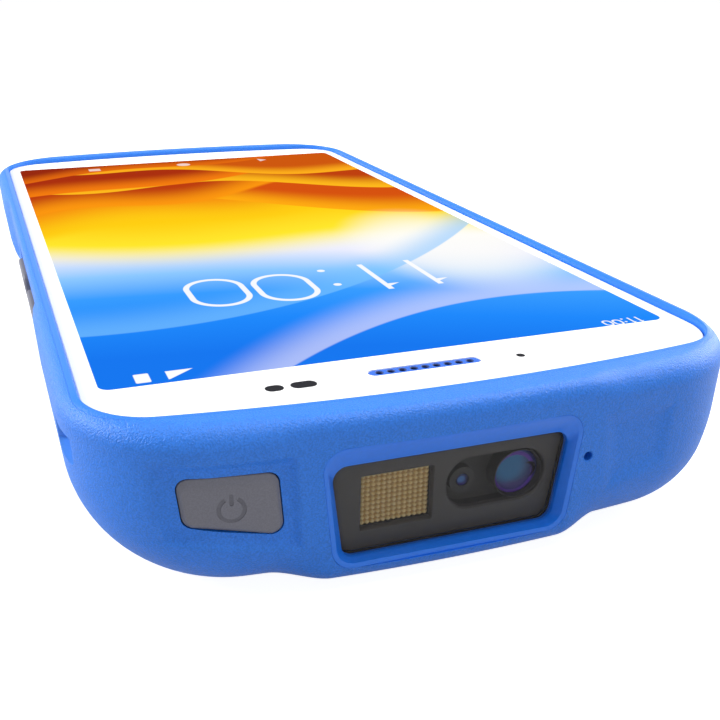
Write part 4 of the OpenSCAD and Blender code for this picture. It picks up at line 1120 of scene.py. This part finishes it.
class TERMINAL_OT_housing(bpy.types.Operator):
    """Builds the rear housing with its hood, hollows, bay and ports"""

    bl_idname = "terminal.housing"
    bl_label = "Rear housing"

    def execute(self, context):
        fine = context.scene.terminal_sizes
        grained, smooth = housing_finish(), trim_finish()
        levels = [level(z, corner=20, top=300, low=60, side=60) for z in end_levels()]
        rings = [waisted(shape_end(ring, fine.hood_flare, fine.scoop_depth), fine.waist) for ring in levels]
        housing = shape("housing_shell", [skin(rings)], grained)
        carve(housing, *self.openings(smooth))
        place(housing, stands_for=("rear_housing",), sharp=32)
        return {"FINISHED"}

    def openings(self, smooth):
        """Cutters for the room inside and for every opening in the skin."""
        yield self.room()
        yield tool(plate(lambda d: frame_line(d, corner=24), [(SEAM, SEAT_Z), (SEAM, THICK + 1)]))
        yield from self.bay(smooth)
        yield from self.scanner_end(smooth)
        yield from self.flanks()
        y = float(end_y(MIC[0]))
        yield tool(plate(lambda d: disc(*MIC, MIC_R + d), [(0, y - 6), (0, y - 0.12), (0.24, y + 0.12)], "Y"))
        yield from self.lower_end(smooth)
        camera = (camera_low + camera_high)[:2] / 2
        yield tool(rod(camera, camera_high[0] - camera[0] + 0.05, -1, 1))
        yield tool(rod(camera, CAMERA_BORE_R, 0.9, 4))
        yield tool(rod(camera - (0, FLASH_BELOW), FLASH_BORE_R, -1, 4))

    def room(self):
        """The room inside, less the walls of the bay, the latches' shelf and the posts of the screws."""
        wide, roof = BAY_W + BAY_WALL, BAY_FLOOR + BAY_ROOF
        heights = (WALL + 0.05, 2.6, 4, 6, 8.5, SIDE_BELLY_R, SEAT_Z + 0.01)
        low, high = LATCH_Y - SHELF_HALF_L, LATCH_Y + SHELF_HALF_L
        return carve(
            tool(skin([level(z, WALL, corner=6, top=8, low=8) for z in heights])),
            tool(brick((-wide, BAY_LOW - BAY_WALL, 0), (wide, BAY_TOP + BAY_WALL, roof))),
            tool(brick((-HALF_W, low, 0), (HALF_W, high, BAY_FLOOR + SHELF_T))),
            tool(*both_sides(*(rod(at, POST_R, 0, roof) for at in SCREWS))),
        )

    def bay(self, smooth):
        """Cutters for the battery pack, its hinge, the screws and the latches."""
        yield tool(plate(pack_line, [(0.6, -0.35), (0.25, 0.1), (0.25, BAY_FLOOR)]))
        yield tool(brick((-16, BAY_LOW - 3.4, 1.35), (16, BAY_LOW + 1, 4.15)))
        yield tool(*both_sides(*(rod(at, SCREW_BORE_R, 1, BAY_FLOOR + 2) for at in SCREWS)))
        yield tool(*both_sides(*(rod(at, SCREW_HEAD_R + 0.15, -1, 1.5) for at in SCREWS)))
        low, high = LATCH_Y - LATCH_HALF_L, LATCH_Y + LATCH_HALF_L
        yield tool(*both_sides(brick((BAY_W - 1, low, -1), (HALF_W + 1, high, LATCH_TOP))), finish=smooth)

    def scanner_end(self, smooth):
        """Cutters for the bezel, the window and the power button."""
        yield tool(prism(bezel_line(SEAM), BEZEL_BACK - 0.05, HALF_L + 1, "Y"), finish=smooth)
        yield tool(prism(window_line(WINDOW_FLANGE), FACE_Y - 1.2, WINDOW_Y - 0.5, "Y"), finish=smooth)
        yield tool(prism(power_line(0.1), HALF_L - 7, HALF_L + 1, "Y"))
        room = power_line(1)
        yield tool(skin([stand(room, HALF_L - 7.3, "Y"), on_end(room, WALL - 0.05)]))

    def flanks(self):
        """Cutters for the keys' recess, holes and switch boards and for the notch, on both sides."""
        seat = KEY_SEAT_X
        middle = (LONG_KEY[0] + SHORT_KEY[0]) / 2 - 0.4
        length = LONG_KEY[0] - SHORT_KEY[0] + (LONG_KEY[1] + SHORT_KEY[1]) / 2 + 9
        recess = plate(lambda d: box_line(middle, KEY_Z, length + d, KEY_H + 2.4 + d, 2 + d / 2),
                       [(0, seat), (0, seat + 0.35), (1.6, seat + 1.6)], "X")
        holes = [prism(key_line(key, 0.12), seat - 2, HALF_W + 1, "X") for key in (LONG_KEY, SHORT_KEY)]
        corner = (32.1, SHORT_KEY[0] - 8.5, BAY_FLOOR + SHELF_T)
        boards = brick(corner, (seat - 1.05, LONG_KEY[0] + 9, SEAT_Z))
        for shells in ([recess], holes, [boards]):
            yield tool(*both_sides(*shells))
        notch = plate(lambda d: box_line(*NOTCH, NOTCH_L + d, NOTCH_H + d, 0.6 + d / 2),
                      [(0, HALF_W - 1.3), (0.1, HALF_W - 0.2), (1.4, HALF_W + 1)], "X")
        # The notch's faces carry a painted highlight
        yield tool(*both_sides(notch), finish=notch_sheen_finish())

    def lower_end(self, smooth):
        """Cutters for the lower microphone, the receptacle, the contacts and the loudspeaker."""
        skin_y = -HALF_L
        yield tool(rod((LOW_MIC_X, PORT_Z), MIC_R, skin_y - 1, skin_y + 4, "Y"))
        yield tool(plate(lambda d: slot_line(0, PORT_Z, PORT_L + d, PORT_H + d),
                         [(2, skin_y - 1), (0, skin_y + 0.3), (0, skin_y + 3)], "Y"))
        contact = rod((CONTACT_X, PORT_Z), CONTACT_R + CONTACT_GAP, skin_y - 1, skin_y + 5, "Y")
        yield tool(*both_sides(contact))
        slot = prism(box_line(0, SPEAKER[1], 1, 4, 0.49), skin_y - 1, skin_y + WALL + 2.4, "Y")
        slot = tool(slot, finish=smooth)
        yield cutter_row("slot row", slot, SPEAKER_SLOTS, SPEAKER_PITCH, SPEAKER[0], smooth)


class TERMINAL_OT_front(bpy.types.Operator):
    """Builds the front frame, the touch glass and the display under it"""

    bl_idname = "terminal.front"
    bl_label = "Front frame, glass and display"

    def execute(self, context):
        self.front_frame()
        self.glass()
        refined("display_panel", picture_finish(), 0.05)
        return {"FINISHED"}

    def front_frame(self):
        """A ring round the glass, cut to the housing's rounded edge."""
        counts = dict(corner=24, top=60, low=60)
        r, sill = FRAME_EDGE_R, glass_low[2] - LEDGE_T
        turn = np.radians(np.linspace(0, 90, 6))
        edge = [(GLASS_GAP + r * (1 - math.sin(a)), THICK - r * (1 - math.cos(a))) for a in turn]
        ledge = [(GLASS_GAP, sill), (-LEDGE_W, sill), (-LEDGE_W, SEAT_Z)]
        inner = [(GLASS_GAP + r + 0.3, THICK + 1), *edge, *ledge]
        rings = [stand(frame_line(0, **counts), z) for z in (SEAT_Z, THICK + 1)]
        rings += [stand(glass_line(d, **counts), z) for d, z in inner]
        ring = shape("front_frame_ring", [skin(rings, closed=True)], frame_finish())
        heights = [THICK - END_EDGE_R * (1 - math.sin(math.radians(a))) for a in np.linspace(0, 88, 24)]
        roll = skin([level(z, corner=20, top=120, low=120) for z in [SEAT_Z - 1, *heights, THICK - HAIR / 2]])
        place(carve(ring, tool(roll), operation="INTERSECT"), stands_for=("front_frame",), sharp=50)

    def glass(self):
        """The sheet of glass with the receiver's slot."""
        low, high = glass_low[2], glass_high[2]
        line = lambda d: glass_line(d, corner=16, top=60, low=60)
        sheet = shape("touch_glass_sheet", [plate(line, broken(low, high, 0.05, 0.2))], glass_finish())
        slot = plate(lambda d: slot_line(0, RECEIVER_Y, RECEIVER_L + d, RECEIVER_W + d),
                     [(0, low - 1), (0, high - 0.04), (0.1, high + 0.1)])
        place(carve(sheet, tool(slot)), stands_for=("touch_glass",), sharp=50)


class TERMINAL_OT_scanner(bpy.types.Operator):
    """Builds the bezel, the exit window and the scan engine behind it"""

    bl_idname = "terminal.scanner"
    bl_label = "Bezel, window and scan engine"

    def execute(self, context):
        self.bezel()
        self.window()
        self.face()
        self.lamp()
        self.lenses()
        return {"FINISHED"}

    def bezel(self):
        """A ring from the housing's skin in to the window."""

        def rim(d, drop):
            line = bezel_line(d)
            return stand(line, end_y(line[:, 0]) - drop, "Y")

        inner, flange, step = window_line(0.1), window_line(WINDOW_FLANGE), WINDOW_Y - WINDOW_STEP
        rings = [
            stand(bezel_line(0), BEZEL_BACK, "Y"),
            rim(0, 0.03), rim(-0.03, 0.0), rim(-0.25, 0.02), rim(-0.5, 0.1),
            stand(window_line(0.12), WINDOW_Y + 0.03, "Y"), stand(inner, WINDOW_Y - 0.02, "Y"),
            stand(inner, step, "Y"), stand(flange, step, "Y"), stand(flange, BEZEL_BACK, "Y"),
        ]
        ring = shape("bezel_ring", [skin(rings, closed=True)], trim_finish())
        place(ring, stands_for=("window_bezel",), sharp=28)

    def window(self):
        """The pane, stepped to sit behind the bezel, and its gasket."""
        front, step, back = WINDOW_Y, WINDOW_Y - WINDOW_STEP, WINDOW_Y - 1
        wide = WINDOW_FLANGE - 0.1
        steps = [(wide, back), (wide, step), (-0.1, step), (-0.1, front - 0.12), (-0.22, front)]
        pane = shape("exit_window_pane", [plate(window_line, steps, "Y")], window_finish())
        place(pane, stands_for=("exit_window",), sharp=25)
        refined("window_gasket", rubber_finish(), 0.03)

    def face(self):
        """The engine's face with the lamp's square opening and the lenses' long recess."""
        sheet = plate(window_line, [(0.15, FACE_Y - 0.8), (0.15, FACE_Y)], "Y")
        low, high = lamp_low[[0, 2]], lamp_high[[0, 2]]
        middle, size = (low + high) / 2, high - low + 0.3
        square = plate(lambda d: box_line(*middle, size[0] + d, size[1] + d, 0.15),
                       [(0, FACE_Y - 2), (0, FACE_Y - 0.12), (0.3, FACE_Y + 0.1)], "Y")
        long, wide = OPTICS_SIZE
        optics = plate(lambda d: box_line(*OPTICS, long + d, wide + d, OPTICS_R + d / 2, 14),
                       [(0, FACE_Y - 2), (0, FACE_Y - 0.2), (0.45, FACE_Y + 0.1)], "Y")
        face = shape("engine_face_plate", [sheet], engine_finish())
        place(carve(face, tool(square), tool(optics)), stands_for=("engine_face",))
        refined("engine_chassis", black_finish(), 0.1)

    def lamp(self):
        """Fly-eye lens: rows of small four-sided lenslets, by Geometry Nodes."""
        low, high = lamp_low * MM, lamp_high * MM
        columns, rows = 13, 11
        wide, tall = (high[0] - low[0]) / columns, (high[2] - low[2]) / rows
        tree, n, at = tree_of("lenslets", {
            "Width": ("NodeSocketFloat", high[0] - low[0] - wide),
            "Height": ("NodeSocketFloat", high[2] - low[2] - tall),
            "Columns": ("NodeSocketInt", columns), "Rows": ("NodeSocketInt", rows),
            "Lens": ("NodeSocketFloat", wide * 0.78), "Tip": ("NodeSocketFloat", LENSLET_TIP * MM),
            "Rise": ("NodeSocketFloat", LENSLET_RISE * MM),
        })
        sizes = {"_0": at["Width"], "_1": at["Height"], "_2": at["Columns"], "_3": at["Rows"]}
        grid = n.make("GeometryNodeMeshGrid", **sizes)
        sizes = {"_3": at["Tip"], "_4": at["Lens"], "_5": at["Rise"]}
        cone = n.make("GeometryNodeMeshCone", Vertices=4, _1=2, _2=1, **sizes)
        turned = n.make("GeometryNodeTransform", _0=cone, Scale=(1, tall / wide, 1))
        copies = n.make("GeometryNodeInstanceOnPoints", _0=grid, _2=turned)
        middle = (low + high) / 2
        where = (middle[0], high[1] - 0.2 * MM, middle[2])
        stood = n.make("GeometryNodeTransform", _0=copies, Translation=where, Rotation=(-math.pi / 2, 0, 0))
        finish_tree(n, stood, lamp_finish())
        place(grown_from("lamp_lenslets", tree, {}), sharp=20)
        base = plate(lambda d: box_line(middle[0] / MM, middle[2] / MM, 7.6 + d, 5.8 + d, 0.12 + d / 2),
                     broken(low[1] / MM, high[1] / MM - 0.15, 0.02, 0.05, 2), "Y")
        place(shape("lamp_lens_sheet", [base], lamp_finish()), stands_for=("illumination_lens",))

    def lenses(self):
        """The imager's lens in its tube, and the aimer's lens."""
        x, z, r = *((barrel_low + barrel_high) / 2)[[0, 2]], (barrel_high[0] - barrel_low[0]) / 2
        back, front = barrel_low[1], barrel_high[1]
        mouth = [(0, front - 0.06), (-0.05, front), (-0.1, front), (-0.13, front - 0.3)]
        steps = [(0, back), *mouth, (-0.13, back)]
        tube = plate(lambda d: disc(x, z, r + d, 64), steps, "Y", closed=True)
        place(shape("lens_tube", [tube], black_finish()), stands_for=("lens_barrel",))
        back, front = (corner[1] for corner in span("imager_lens"))
        # Each lens's finish holds a painted reflection, painted shade and a painted shadow besides its
        # coating's tint
        self.dome("imager_glass", (x, z), r - 0.2, back, front, 0.5, "imager_lens",
                  lens_finish("imager coating", (x, z), r, (46, 118, 168), (98, 62, 168)))
        x, z, r = *((aimer_low + aimer_high) / 2)[[0, 2]], (aimer_high[0] - aimer_low[0]) / 2
        self.dome("aimer_glass", (x, z), r, aimer_low[1], aimer_high[1], 0.25, "aimer_lens",
                  lens_finish("aimer coating", (x, z), r, (64, 112, 176), (44, 52, 96)))

    def dome(self, name, middle, r, back, front, rise, node, finish):
        """A lens with a crowned face."""
        turn = np.radians(np.linspace(0, 88, 10))
        steps = [(0, back)] + [(-r * (1 - math.cos(a)), front - rise + rise * math.sin(a)) for a in turn]
        lens = plate(lambda d: disc(*middle, r + d, 56), steps, "Y")
        place(shape(name, [lens], finish), stands_for=(node,), sharp=60)


class TERMINAL_OT_power_button(bpy.types.Operator):
    """Builds the power button with its engraved mark"""

    bl_idname = "terminal.power_button"
    bl_label = "Power button"

    def execute(self, context):
        def line(d, depth, back, drop=0.0):
            flat = rounded(grown(POWER, d) - [(0, 0), (0, 0), (0, drop), (0, drop)], POWER_R + 0.1 + d)
            return on_end(flat, depth) - (0, back, 0)

        low, seat = span("power_button")[0][1], WALL + 0.12
        cap = skin([
            line(0.6, seat, 0.6), line(0.6, seat, 0), line(0, seat, 0),
            line(0, 0.7, 0), line(-0.04, 0.63, 0, 0.03), line(-0.28, 0.42, 0, 0.42),
            line(-0.36, 0.37, 0, 0.5), line(-0.46, 0.35, 0, 0.54),
            *self.crown(power_line(-0.5) - (0, 0.3), 0.35),
        ])
        x, z = POWER_PLUNGER
        square = box_line(x, z, PLUNGER_W, PLUNGER_W, 0.5)
        plunger = prism(square, low + 0.12, float(end_y(x, seat + 0.3)), "Y")
        button = shape("power_button_cap", [cap, plunger], key_finish())
        place(carve(button, *self.mark(mark_finish())), "power_button", ("power_button",), 16)
        refined("power_button_seal", rubber_finish(), 0.05)
        refined("power_switch", board_finish(), 0.05)
        return {"FINISHED"}

    def crown(self, line, depth):
        """Smaller and smaller copies of a line, which carry a face along the bowed end."""
        middle = line.mean(0)
        return [on_end(middle + (line - middle) * k, depth) for k in (0.8, 0.6, 0.4, 0.2, 0.03)]

    def mark(self, finish):
        """Cutters for a broken ring with a bar in its gap."""
        x, z = POWER_MARK
        turns = np.radians(np.linspace(90 + MARK_GAP, 450 - MARK_GAP, 49))
        out, back = ([(x + r * math.cos(a), z + r * math.sin(a)) for a in turns] for r in (MARK_OUT, MARK_IN))
        bar = slot_line(0, 0, BAR_L, BAR_W)[:, ::-1] + (x, z + BAR_UP)
        for line in (np.array(out + back[::-1]), bar):
            yield tool(skin([on_end(line, 0.41), on_end(line, -0.5)]), finish=finish)


class TERMINAL_OT_side_keys(bpy.types.Operator):
    """Builds the four side keys and the switches behind them"""

    bl_idname = "terminal.side_keys"
    bl_label = "Side keys"

    def execute(self, context):
        self.key("long", LONG_KEY, long_low[0], long_high[0])
        self.key("short", SHORT_KEY, short_low[0], short_high[0])
        for side in ("right", "left"):
            refined(side + "_key_seal", rubber_finish(), 0.05)
            refined(side + "_key_board", board_finish(), 0.04)
        return {"FINISHED"}

    def key(self, name, key, tip, face):
        """A key of each side: a flange, a cap that leans to its face, and a stem to the switch."""
        flange, seat = tip + 1, tip + 1.6
        points, faces = plate(lambda d: key_line(key, d), [
            (0.35, flange), (0.35, seat), (0, seat),
            (0, face - 0.45), (-0.12, face - 0.2), (-0.35, face - 0.05), (-0.6, face)], "X")
        share = np.clip((points[:, 0] - seat) / (face - seat), 0, 1)
        lean = KEY_LEAN * share * (KEY_Z + KEY_H / 2 - points[:, 2]) / KEY_H
        cap = points - np.stack([lean, 0 * lean, 0 * lean], 1), faces
        stem = rod((key[0], KEY_Z), 1, tip, flange + 0.1, "X")
        for side, shells in (("right", [cap, stem]), ("left", [mirrored(cap), mirrored(stem)])):
            body = f"{side}_{name}_key"
            place(shape(body + "_cap", shells, key_finish()), body, (body,))


class TERMINAL_OT_receiver(bpy.types.Operator):
    """Builds the receiver's grille and the sensors in the glass"""

    bl_idname = "terminal.receiver"
    bl_label = "Receiver and sensors"

    def execute(self, context):
        top = glass_high[2] - 0.05
        length, wide = RECEIVER_L - RECEIVER_PLAY, RECEIVER_W - RECEIVER_PLAY
        bar = plate(lambda d: slot_line(0, RECEIVER_Y, length + 2 * d, wide + 2 * d), [
            (0.65, grille_low[2]), (0.65, glass_low[2]), (0, glass_low[2]), (0, top - 0.15), (-0.15, top)])
        line = lambda d: disc(0, RECEIVER_Y, HOLE_R + d, 24)
        hole = tool(plate(line, [(0, 15), (0, top - 0.1), (0.2, top + 0.1)]))
        # The holes' walls get painted shade
        holes = cutter_row("hole row", hole, HOLES, HOLE_PITCH, 0, hole_shade_finish())
        grille = carve(shape("receiver_bar", [bar], grille_finish()), holes)
        place(grille, stands_for=("receiver_grille",))
        refined("receiver", steel_finish(), 0.08)
        refined("proximity_sensor", black_finish(), 0.08)
        refined("notification_led", diffuser_finish(), 0.08)
        return {"FINISHED"}


class TERMINAL_OT_battery(bpy.types.Operator):
    """Builds the battery pack, its latches and their springs"""

    bl_idname = "terminal.battery"
    bl_label = "Battery pack and latches"

    def execute(self, context):
        refined("battery_case", housing_finish(), 0.22, "battery_pack")
        refined("battery_cell", foil_finish(), 0.3, "battery_pack")
        refined("pack_terminals", gold_finish(), 0.08, "battery_pack")
        for side in ("latch_right", "latch_left"):
            refined(side, key_finish(), 0.15, side)
        self.springs()
        return {"FINISHED"}

    def springs(self):
        """Two coils behind each latch, by Geometry Nodes."""
        low, high = span("latch_springs")
        rest, wire = SPRING_REST, SPRING_WIRE
        latch_in, z = high[0] - rest, (low[2] + high[2]) / 2
        tree, n, at = tree_of("coil spring", {
            "Turns": ("NodeSocketFloat", 6.0), "Length": ("NodeSocketFloat", (rest - 2 * wire) * MM),
            "Radius": ("NodeSocketFloat", (SPRING_R - wire) * MM), "Wire": ("NodeSocketFloat", wire * MM),
        })
        sizes = {"_1": at["Turns"], "_2": at["Radius"], "_3": at["Radius"], "_4": at["Length"]}
        coil = n.make("GeometryNodeCurveSpiral", _0=20, **sizes)
        ring = n.make("GeometryNodeCurvePrimitiveCircle", Resolution=8, Radius=at["Wire"])
        finish_tree(n, n.make("GeometryNodeCurveToMesh", _0=coil, _1=ring, Fill_Caps=True), steel_finish())
        one = grown_from("coil", tree, {})
        points = np.array([v.co for v in one.data.vertices]) / MM
        faces = [list(p.vertices) for p in one.data.polygons]
        bpy.data.objects.remove(one)
        lying = np.stack([points[:, 2] + latch_in + wire, points[:, 1], points[:, 0] + z], 1)
        shells = [(lying + (0, LATCH_Y + s * SPRING_APART, 0), faces) for s in (-1, 1)]
        left = [mirrored(shell) for shell in shells]
        for side, coils, x in (("right", shells, latch_in), ("left", left, -latch_in)):
            spring = place(shape(f"{side}_latch_coils", coils, steel_finish()), "battery_pack",
                           ("latch_springs",) if side == "right" else (), 60)
            x * MM
            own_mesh(spring)


class TERMINAL_OT_fasteners(bpy.types.Operator):
    """Builds the screws that hold the housing, the boards and the scan engine"""

    bl_idname = "terminal.fasteners"
    bl_label = "Screws"

    def execute(self, context):
        low, high = span("housing_screws")
        points = bpy.data.meshes.new("screw places")
        points.from_pydata([(s * x * MM, y * MM, low[2] * MM) for x, y in SCREWS for s in (-1, 1)], [], [])
        places = bpy.data.objects.new("screw places", points)
        tree, n, at = tree_of("machine screws", {
            "Places": ("NodeSocketObject", None), "Screw": ("NodeSocketObject", None),
        })
        where = n.make("GeometryNodeObjectInfo", out="Geometry", _0=at["Places"])
        finish_tree(n, copies_of(n, where, at["Screw"]), black_steel_finish())
        screw = self.screw(high[2] - low[2])
        bpy.context.scene.collection.objects.link(places)
        group = grown_from("machine_screws", tree, {"Places": places, "Screw": screw})
        bpy.data.objects.remove(screw)
        bpy.data.objects.remove(places)
        place(group, stands_for=("housing_screws",), sharp=30)
        for node in ("board_screws", "engine_screws"):
            refined(node, steel_finish(), 0.05)
        return {"FINISHED"}

    def screw(self, length):
        """One screw, its head at the origin's level, with a six-lobed recess."""
        body = plate(lambda d: disc(0, 0, SCREW_HEAD_R + d, 40), [
            (-0.3, 0), (-0.12, 0.05), (0, 0.2), (0, 1.2), (-0.9, 1.2), (-0.9, length - 0.4), (-1.15, length)])
        turn = np.radians(np.linspace(0, 360, 49)[:-1])
        lobes = 0.82 + 0.14 * np.cos(6 * turn)
        star = np.stack([lobes * np.cos(turn), lobes * np.sin(turn)], 1)
        return carve(shape("screw", [body], black_steel_finish()), tool(prism(star, -0.5, 0.75)))


class TERMINAL_OT_ports(bpy.types.Operator):
    """Builds the receptacle, contacts, loudspeaker and windows of the lower end and back"""

    bl_idname = "terminal.ports"
    bl_label = "Ports and windows"

    def execute(self, context):
        self.receptacle()
        self.contacts()
        refined("speaker_mesh", mesh_finish(), 0.03)
        refined("loudspeaker", black_finish(), 0.12)
        refined("camera_window", black_glass_finish(), 0.12)
        refined("flash_window", diffuser_finish(), 0.12)
        refined("rear_camera", black_finish(), 0.1)
        refined("vibration_motor", steel_finish(), 0.12)
        for node in ("top_microphone", "bottom_microphone"):
            refined(node, gold_finish(), 0.08)
        return {"FINISHED"}

    def receptacle(self):
        """A shell with a rolled mouth, and a tongue with a row of pads on each side."""
        low, high = receptacle_low, receptacle_high
        wide, tall, mouth, back = high[0] - low[0], high[2] - low[2], low[1], high[1]
        shell = plate(lambda d: slot_line(0, PORT_Z, wide + 2 * d, tall + 2 * d), [
            (0, mouth + 0.08), (-0.06, mouth), (-0.22, mouth), (-0.3, mouth + 0.12), (-0.3, back - 1),
            (-1.45, back - 1), (-1.45, back), (0, back)], "Y", closed=True)
        wall = prism(slot_line(0, PORT_Z, wide - 2.5, tall - 2.5), back - 0.9, back - 0.1, "Y")
        sleeve = shape("receptacle_shell", [shell, wall], steel_finish())
        place(sleeve, stands_for=("usb_receptacle",), sharp=40)
        tongue = plate(lambda d: box_line(0, PORT_Z, 6.7 + 2 * d, 0.7 + 2 * d, 0.1),
                       [(0, back - 1), (0, mouth + 1.2), (-0.12, mouth + 1)], "Y")
        place(shape("receptacle_tongue", [tongue], black_finish()))
        pads = []
        for x in (PIN_PITCH * i - 2.85 for i in range(PINS)):
            for z in (PORT_Z - 0.36, PORT_Z + 0.36):
                pads.append(brick((x, mouth + 1.3, z - PIN_T / 2), (x + PIN_W, back - 1.2, z + PIN_T / 2)))
        place(shape("receptacle_pads", pads, gold_finish()))

    def contacts(self):
        """Two domed discs beside the receptacle."""
        low, high = (corner[1] for corner in span("cradle_contacts"))
        steps = [(0, high), (0, low + 0.12), (-0.1, low + 0.02), (-0.75, low), (-0.85, low + 0.08)]
        discs = [plate(lambda d: disc(s * CONTACT_X, PORT_Z, CONTACT_R + d, 40), steps, "Y") for s in (-1, 1)]
        place(shape("contact_discs", discs, gold_finish()), stands_for=("cradle_contacts",), sharp=30)


class TERMINAL_OT_inside(bpy.types.Operator):
    """Finishes the frames, boards and modules that the housing holds"""

    bl_idname = "terminal.inside"
    bl_label = "Inner pieces"

    def execute(self, context):
        finishes = {
            "mid_frame": alloy_finish(), "main_board": board_finish(), "engine_board": board_finish(),
            "processor": black_finish(), "shield_cans": steel_finish(), "card_socket": steel_finish(),
            "backup_battery": steel_finish(), "bay_contacts": black_finish(), "display_flex": flex_finish(),
            "engine_flex": flex_finish(), "glass_adhesive": rubber_finish(), "antennas": carrier_finish(),
            "illumination_leds": phosphor_finish(),
        }
        for node, finish in finishes.items():
            refined(node, finish, context.scene.terminal_sizes.edge)
        return {"FINISHED"}


class TERMINAL_OT_stage(bpy.types.Operator):
    """Builds the floor, the lamps, the sky and the camera"""

    bl_idname = "terminal.stage"
    bl_label = "Stage"

    def execute(self, context):
        self.floor()
        self.sky()
        for name, (where, size, power) in LAMPS.items():
            self.lamp(name, Vector(where) * MM, size * MM, power)
        self.camera()
        return {"FINISHED"}

    def seen(self, n, straight, mirrored):
        """One value for what is seen straight or through glass, and another for what gloss shows."""
        path = n.make("ShaderNodeLightPath").socket.node.outputs
        through = Wire(n, path["Is Camera Ray"]).high(Wire(n, path["Is Transmission Ray"]))
        return (through * straight).high(Wire(n, path["Is Glossy Ray"]) * mirrored)

    def floor(self):
        """White paper, which the lens sees brighter than gloss does."""
        mesh = bpy.data.meshes.new("floor")
        corners = ((-1, -1), (1, -1), (1, 1), (-1, 1))
        mesh.from_pydata([(x * FLOOR_FAR, y * FLOOR_FAR, FLOOR_Z) for x, y in corners], [], [(0, 1, 2, 3)])
        obj = bpy.data.objects.new("floor", mesh)
        bpy.context.scene.collection.objects.link(obj)
        mat, n = material("floor paper")
        paper = n.make("ShaderNodeBsdfDiffuse", Color=(0.5, 0.5, 0.51))
        lit = n.make("ShaderNodeEmission", Color=(1, 1, 1), Strength=self.seen(n, 0.9, 0.45))
        n.make("ShaderNodeOutputMaterial", Surface=n.make("ShaderNodeAddShader", _0=paper, _1=lit))
        mesh.materials.append(mat)

    def sky(self):
        world = bpy.data.worlds.new("sky")
        bpy.context.scene.world = world
        world.use_nodes = True
        n = Nodes(world.node_tree)
        light = n.make("ShaderNodeBackground", Color=(1, 1, 1), Strength=0.2 + self.seen(n, 0.8, 0.6))
        n.make("ShaderNodeOutputWorld", Surface=light)

    def lamp(self, name, where, size, power):
        """A square lamp that faces the middle of the terminal."""
        data = bpy.data.lights.new(name, "AREA")
        data.size, data.energy = size, power
        obj = bpy.data.objects.new(name, data)
        obj.location = where
        obj.rotation_euler = (Vector((0, 0, 0.01)) - where).to_track_quat("-Z", "Y").to_euler()
        bpy.context.scene.collection.objects.link(obj)

    def camera(self):
        data = bpy.data.cameras.new("camera")
        data.sensor_width, data.lens, data.shift_x = SENSOR_W, LENS_LENGTH, LENS_SHIFT
        obj = bpy.data.objects.new("camera", data)
        obj.location = Vector(VIEW_FROM) * MM
        obj.rotation_euler = Vector(VIEW_ALONG).to_track_quat("-Z", "Y").to_euler()
        data.clip_start, data.clip_end = 0.005, 20
        bpy.context.scene.collection.objects.link(obj)
        bpy.context.scene.camera = obj
        bpy.context.scene.view_settings.view_transform = "Standard"


STEPS = (
    TERMINAL_OT_stage, TERMINAL_OT_housing, TERMINAL_OT_front, TERMINAL_OT_scanner,
    TERMINAL_OT_power_button, TERMINAL_OT_side_keys, TERMINAL_OT_receiver, TERMINAL_OT_battery,
    TERMINAL_OT_fasteners, TERMINAL_OT_ports, TERMINAL_OT_inside,
)


class TERMINAL_PT_panel(bpy.types.Panel):
    """Lists the terminal's sizes, colours and pieces"""

    bl_label = "Barcode data terminal"
    bl_idname = "TERMINAL_PT_panel"
    bl_space_type = "VIEW_3D"
    bl_region_type = "UI"
    bl_category = "Terminal"

    def draw(self, context):
        for group in (context.scene.terminal_sizes, context.scene.terminal_colours):
            for name in group.__annotations__:
                self.layout.prop(group, name)
        for step in STEPS:
            self.layout.operator(step.bl_idname)


CLASSES = (TerminalColours, TerminalSizes, *STEPS, TERMINAL_PT_panel)


def register():
    for cls in CLASSES:
        bpy.utils.register_class(cls)
    bpy.types.Scene.terminal_colours = PointerProperty(type=TerminalColours)
    bpy.types.Scene.terminal_sizes = PointerProperty(type=TerminalSizes)


def unregister():
    del bpy.types.Scene.terminal_colours
    del bpy.types.Scene.terminal_sizes
    for cls in reversed(CLASSES):
        bpy.utils.unregister_class(cls)


def main():
    register()
    for step in STEPS:
        getattr(bpy.ops.terminal, step.bl_idname.split(".")[1])()


if __name__ == "__main__":
    main()
